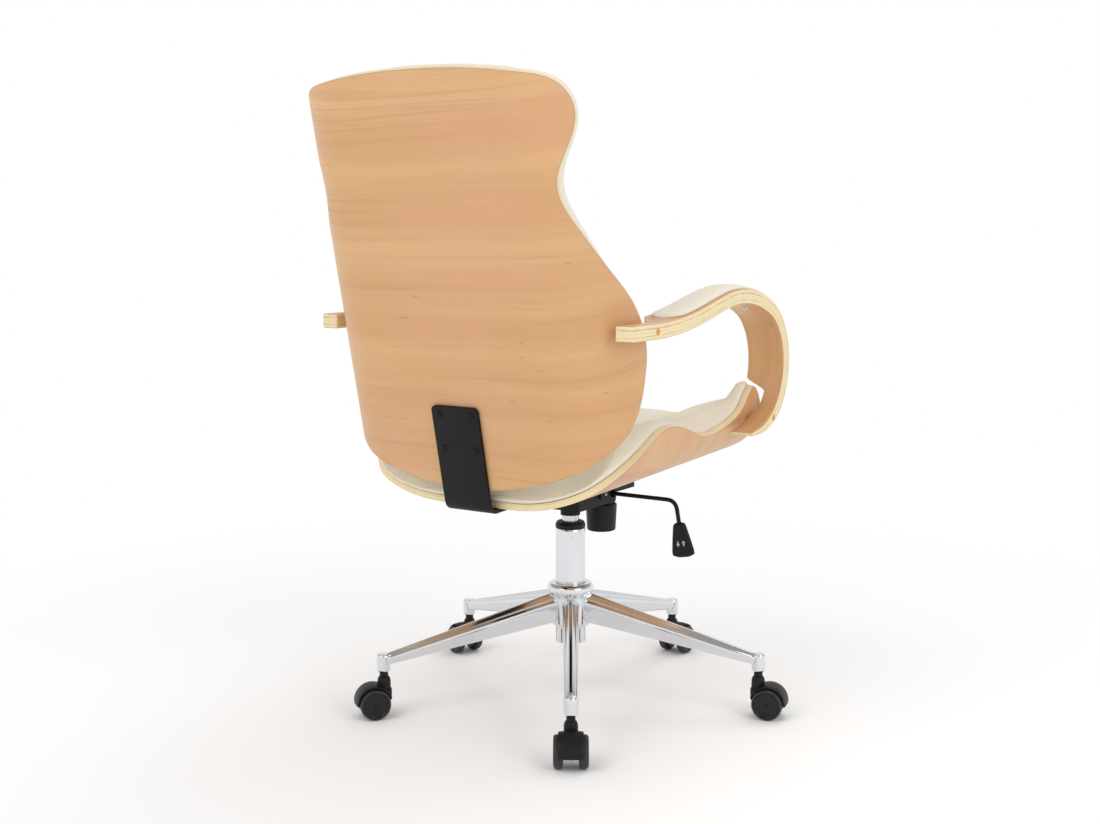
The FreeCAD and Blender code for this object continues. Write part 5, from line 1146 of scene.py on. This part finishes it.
class MakeLever(Maker):
    """Lever: a bent rod with a flat moulded grip that carries two plain arrows"""

    bl_idname = "chair.make_lever"
    bl_label = "Lever"

    def make(self):
        route = [(-0.003, -0.007, 0.366), (-0.003, 0.036, 0.366), (-0.003, 0.058, 0.345),
                 (0.168, 0.058, 0.345), (0.176, 0.058, 0.300)]
        bar = tube(rounded_path(route, 0.016), sizes().rod, 20, 0.0015)
        Skin(bar).build("lever_bar", ["black_steel"], "lever", "black_steel", "lever_rod")
        down = unit(np.array([0.008, 0.0, -0.045]))
        top = np.array(route[-1]) - down * 0.010
        across = np.array([-down[2], 0.0, down[0]])
        grip = Skin(self.grip(top, down, across))
        grip.build("lever_grip", ["black_plastic"], "lever", "black_plastic", "lever_paddle")
        marks = Skin(*(self.arrow(top, down, across, up) for up in (1, -1)))
        marks.build("grip_arrows", ["mark_print"], "lever", "black_plastic")

    @staticmethod
    def half_depth(share):
        """Half the grip's thickness at a share of its length."""
        return np.interp(share, [0, 0.12, 0.5, 0.88, 1], [0.0046, 0.0050, 0.0046, 0.0040, 0.0028])

    @classmethod
    def grip(cls, top, down, across):
        """Rounded flat sections along the drop: narrow at the rod, wide below, drawn in at both ends."""
        share = 0.5 - 0.5 * np.cos(np.linspace(0.02, 0.98, 60) * np.pi)
        wide = np.interp(share, [0, 0.1, 0.5, 0.8, 0.93, 1], [0.0085, 0.0110, 0.0164, 0.0198, 0.0202, 0.0165])
        end = np.minimum(share / 0.07, (1 - share) / 0.10)
        close = np.sqrt(np.clip(1 - (1 - np.clip(end, 0, 1)) ** 2, 0.01, 1))
        angle = circle(64)
        flank = wide * (0.72 + 0.28 * close) * np.where(end < 1, 0.5 + 0.5 * close, 1)
        x = flank[:, None] * bulge(np.cos(angle), 0.42)
        y = (cls.half_depth(share) * close)[:, None] * bulge(np.sin(angle), 0.55)
        spine = top + down * (GRIP_START + GRIP_LENGTH * share)[:, None]
        return spine[:, None] + x[..., None] * across + y[..., None] * np.array([0, 1, 0])

    @classmethod
    def arrow(cls, top, down, across, up):
        """A flat arrow on the grip's rear face, as a thin plate with a triangular head and a short stem."""
        right = [(3.4, 0.6), (1.3, 0.6), (1.3, -4.2)]
        left = [(-wide, high) for wide, high in right[::-1]]
        outline = eased(np.array([(0, 5.0), *right, *left]) / 1000, 0.0003, closed=True, steps=3)
        flat = outline * [1, up] + [0.0052 * up, 0]
        share = 0.60
        face = -cls.half_depth(share)
        layers = np.array([face + 0.0004, face - 0.00012])
        spine = top + down * (GRIP_START + GRIP_LENGTH * share)
        plan = spine + flat[:, :1] * across - flat[:, 1:] * down
        return plan[None] + layers[:, None, None] * np.array([0, 1, 0])


def screw_head(radius, height, socket):
    """A domed head with a six-sided socket, standing on Z from the origin."""
    profile = np.array([
        (radius, -0.0004), (radius, 0.0004), (0.94 * radius, 0.36 * height), (0.78 * radius, 0.72 * height),
        (0.58 * radius, 0.94 * height), (1.28 * socket, height), (1.12 * socket, height),
        (socket, 0.96 * height), (0.97 * socket, 0.35 * height), (0.4 * socket, 0.34 * height)])
    hexed = np.array([0, 0, 0, 0, 0, 0, 0.6, 1, 1, 1])[:, None]

    def flats(angle, high, reach):
        """Six flats: the reach of a hexagon at each angle, over that of a circle."""
        side = (angle % (np.pi / 3)) - np.pi / 6
        return reach * (1 - hexed + hexed * math.cos(math.pi / 6) / np.cos(side))

    return lathe(profile, 48, flats)


def set_on(shape, point, normal):
    """Stands a shape made on Z at a point, along a direction."""
    turn = np.array(Vector((0, 0, 1)).rotation_difference(Vector(normal)).to_matrix())
    return shape @ turn.T + np.asarray(point)


class MakeBracket(Maker):
    """Black bar that carries the back, with its domed screws"""

    bl_idname = "chair.make_bracket"
    bl_label = "Bracket"

    def make(self):
        pitch, lean = math.radians(SEAT_PITCH), math.radians(BACK_LEAN)
        along = np.array([-math.cos(pitch), -math.sin(pitch)])
        up = np.array([-math.sin(lean), math.cos(lean)])
        start, end = SEAT_PLACE + 0.125 * along, BACK_PLACE + 0.030 * up
        lower, upper = np.linalg.solve(np.stack([along, up], -1), end - start)
        heading, bend, corner = 180 + SEAT_PITCH, 0.012, 0.008
        turn = 90 + BACK_LEAN - heading
        reach = bend * math.tan(0.5 * math.radians(abs(turn)))
        line = Bend(start, [(lower - reach, 0), arc(bend, turn), (upper - reach, 0)], heading)
        whole = line.begin[-1]
        stations = np.unique(np.concatenate([np.linspace(0, corner, 14),
                                             np.linspace(corner, whole - corner, 120),
                                             np.linspace(whole - corner, whole, 14)]))
        gone = corner - np.minimum(np.minimum(stations, whole - stations), corner)
        half = 0.0425 - (corner - np.sqrt(np.maximum(corner ** 2 - gone ** 2, 0)))
        grid, _, _, _ = strip(line, stations, -half, half, 0.0002, 0.006, 0.0009)
        Skin(grid).build("back_bar", ["black_steel"], "seat", "black_steel", "back_bracket")
        out = np.array([0, -math.cos(lean), -math.sin(lean)])
        head = screw_head(0.0055, 0.0030, 0.0017)
        skin = Skin()
        for x in (0.029, -0.029):
            for high in (0.017, -0.037):
                face = np.array([x, *(BACK_PLACE + high * up)])
                skin.add(set_on(head, face + 0.006 * out, out))
        skin.build("back_bar_screws", ["black_steel"], "seat", "black_steel", "back_screws")


class MakeArmFixings(Maker):
    """Wooden plugs in the arms' sides and bright screws under their pads"""

    bl_idname = "chair.make_arm_fixings"
    bl_label = "Arm fixings"

    def make(self):
        line, size = arm_line(), sizes()
        profile = eased([(0.0055, -0.0055), (0.0055, 0.0001), (0.0050, 0.00035), (0.0, 0.0004)], 0.0003)
        plug = lathe(profile[:-1], 40)
        y, z, _ = line.at([REAR_SCREW, line.begin[-1] - LOW_SCREW], np.array([0.0, -0.002]))
        skin = Skin()
        for sign in SIDES.values():
            for place in zip(y.tolist(), z.tolist()):
                skin.add(set_on(plug, (sign * size.arm_outer, *place), (sign, 0, 0)))
        skin.build("arm_plug_caps", ["plug_wood"], "seat", "veneer", "arm_plugs")
        head = screw_head(0.0045, 0.0025, 0.0014)
        skin = Skin()
        for along in (0.250, 0.420):
            y, z, turn = line.at(along, -0.5 * size.arm_thickness)
            for sign in SIDES.values():
                middle = sign * (size.arm_outer - 0.5 * size.arm_wide)
                skin.add(set_on(head, (middle, float(y), float(z)), (0, math.sin(turn), -math.cos(turn))))
        skin.build("arm_pad_heads", ["bright_steel"], "seat", "bright_steel", "pad_screws")


class FinishFittings(Maker):
    """Finishes on the CAD nodes that stay: the tilt housing, its plate, and the pins and bolts"""

    bl_idname = "chair.finish_fittings"
    bl_label = "Fittings"

    def make(self):
        looks = {"arm_spacers": "veneer"}
        for name in ("mechanism_housing", "seat_plate", "lock_slider", "bracket_bolts", "seat_bolts",
                     "tension_bolt"):
            looks[name] = "black_steel"
        for number in range(LEGS):
            for part in ("stem", "axle"):
                looks[f"castor_{number + 1}_{part}"] = "black_plastic"
        for name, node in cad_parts.items():
            if not node.hide_render:
                node.data.materials.clear()
                node.data.materials.append(finish(looks.get(name, "bright_steel")))


class MakeStage(Maker):
    """Pale floor, soft lights and the camera"""

    bl_idname = "chair.make_stage"
    bl_label = "Stage"

    def make(self):
        scene = bpy.context.scene
        scene.view_settings.view_transform = "Standard"
        self.floor(scene)
        self.world(scene)
        self.lights(scene)
        self.camera(scene)

    @staticmethod
    def floor(scene):
        """A wide flat disc of rings, lit near the chair and shining white further out."""
        angle = circle(64)
        reach = np.array([0.2, 1.0, 4.0, 14.0])[:, None]
        grid = np.stack([reach * np.cos(angle), reach * np.sin(angle), np.full((4, 64), -0.0004)], -1)
        index = np.arange(256).reshape(4, 64)
        low, high = index[:-1], index[1:]
        quads = np.stack([low, high, np.roll(high, -1, 1), np.roll(low, -1, 1)], -1).reshape(-1, 4)
        mesh = bpy.data.meshes.new("floor")
        mesh.from_pydata(grid.reshape(-1, 3).tolist(), [], quads.tolist() + [index[0].tolist()])
        board = Board("floor")
        speck = board.cloud(6.0, 2.0)
        place = board.node("TexCoord", (), (), 3)
        reach = board.node("VectorMath", {"operation": "LENGTH"}, {0: place}, 1)
        away = board.band(reach, 0.55, 1.7)
        dark = (0.0, 0.0, 0.0, 1.0)
        near = board.mix(speck * 0.02, "floor", (0.9, 0.9, 0.9, 1.0))
        board.surface(Base_Color=board.mix(away, near, dark), Roughness=0.9, Specular_IOR_Level=0.0,
                      Emission_Color=board.mix(away, dark, (1.0, 1.0, 1.0, 1.0)), Emission_Strength=1.0)
        mesh.materials.append(board.material)
        made = bpy.data.objects.new("floor", mesh)
        scene.collection.objects.link(made)

    @staticmethod
    def world(scene):
        """White for the camera and for reflections near the horizon, greyer overhead, and a soft fill."""
        world = bpy.data.worlds.new("studio")
        world.use_nodes = True
        scene.world = world
        tree = world.node_tree
        background = tree.nodes["Background"]
        board = Board.__new__(Board)
        board.tree = tree
        path = board.node("LightPath")
        sockets = path.socket.node.outputs
        camera, glossy, through = (Value(board, sockets[name]) for name in
                                   ("Is Camera Ray", "Is Glossy Ray", "Is Transmission Ray"))
        _, _, high = board.parts(board.node("TexCoord", (), (), 0))
        overhead = board.band(high, 0.12, 0.62)
        mirror = 1.0 - overhead * 0.62
        shown = board.node("Math", {"operation": "MAXIMUM"}, {0: camera, 1: through})
        level = shown + (1.0 - shown) * (glossy * mirror + (1.0 - glossy) * 0.74)
        board.feed(background, {"Color": (1.0, 1.0, 1.0, 1.0), "Strength": level})

    @staticmethod
    def lights(scene):
        """Large soft panels: a key high at the camera's left, a fill at its right, and one over the front."""
        for name, place, wide, power in (("key", (-0.6, -2.6, 2.6), 1.9, 27.0),
                                         ("fill", (2.9, -0.9, 1.9), 1.6, 23.0),
                                         ("top", (0.3, 1.6, 2.9), 1.8, 18.0)):
            lamp = bpy.data.lights.new(name, "AREA")
            lamp.size = wide
            lamp.energy = power
            made = bpy.data.objects.new(name, lamp)
            made.location = place
            made.rotation_euler = (Vector((0, 0, 0.5)) - Vector(place)).to_track_quat("-Z", "Y").to_euler()
            scene.collection.objects.link(made)

    @staticmethod
    def camera(scene):
        """The photograph's view: distance, height, pitch, yaw and roll, about a chair turned by an angle."""
        far, high, pitch, yaw, roll = 2.50276, 0.80775, 0.12779, -0.01331, -0.00419
        turn = turn_about("Z", 33.0)
        ahead = np.array([math.sin(yaw), math.cos(yaw), 0.0])
        right = np.array([math.cos(yaw), -math.sin(yaw), 0.0])
        rise = np.array([0.0, 0.0, 1.0])
        forward = math.cos(pitch) * ahead - math.sin(pitch) * rise
        up = math.sin(pitch) * ahead + math.cos(pitch) * rise
        axis_x = math.cos(roll) * right + math.sin(roll) * up
        axis_y = math.cos(roll) * up - math.sin(roll) * right
        axes = turn @ np.stack([axis_x, axis_y, -forward], -1)
        lens = bpy.data.cameras.new("camera")
        lens.sensor_fit = "HORIZONTAL"
        lens.sensor_width = 36.0
        lens.lens = 49.879
        lens.clip_start, lens.clip_end = 0.05, 60.0
        made = bpy.data.objects.new("camera", lens)
        place = Matrix.Translation(turn @ np.array([0.0, -far, high]))
        made.matrix_world = place @ Matrix(axes.tolist()).to_4x4()
        scene.collection.objects.link(made)
        scene.camera = made


OPERATORS = (MakePlywood, MakeCushions, MakeArms, MakeArmPads, MakeBase, MakeCastors, MakeColumn, MakeTension,
             MakeLever, MakeBracket, MakeArmFixings, FinishFittings, MakeStage)


class ChairPanel(bpy.types.Panel):
    """Lists the chair's operators, sizes and colours"""

    bl_idname = "VIEW3D_PT_chair"
    bl_label = "Swivel chair"
    bl_space_type = "VIEW_3D"
    bl_region_type = "UI"
    bl_category = "Chair"

    def draw(self, context):
        for made in OPERATORS:
            self.layout.operator(made.bl_idname)
        for group in (context.scene.chair_sizes, context.scene.chair_colours):
            box = self.layout.box()
            for name in group.__annotations__:
                box.prop(group, name)


CLASSES = (ChairSizes, ChairColours, *OPERATORS, ChairPanel)


def register():
    for made in CLASSES:
        bpy.utils.register_class(made)
    bpy.types.Scene.chair_sizes = bpy.props.PointerProperty(type=ChairSizes)
    bpy.types.Scene.chair_colours = bpy.props.PointerProperty(type=ChairColours)


def unregister():
    del bpy.types.Scene.chair_colours
    del bpy.types.Scene.chair_sizes
    for made in reversed(CLASSES):
        bpy.utils.unregister_class(made)


def main():
    register()
    for made in OPERATORS:
        group, name = made.bl_idname.split(".")
        if getattr(getattr(bpy.ops, group), name)() != {"FINISHED"}:
            raise RuntimeError(f"{made.bl_idname} did not finish")


if __name__ == "__main__":
    main()
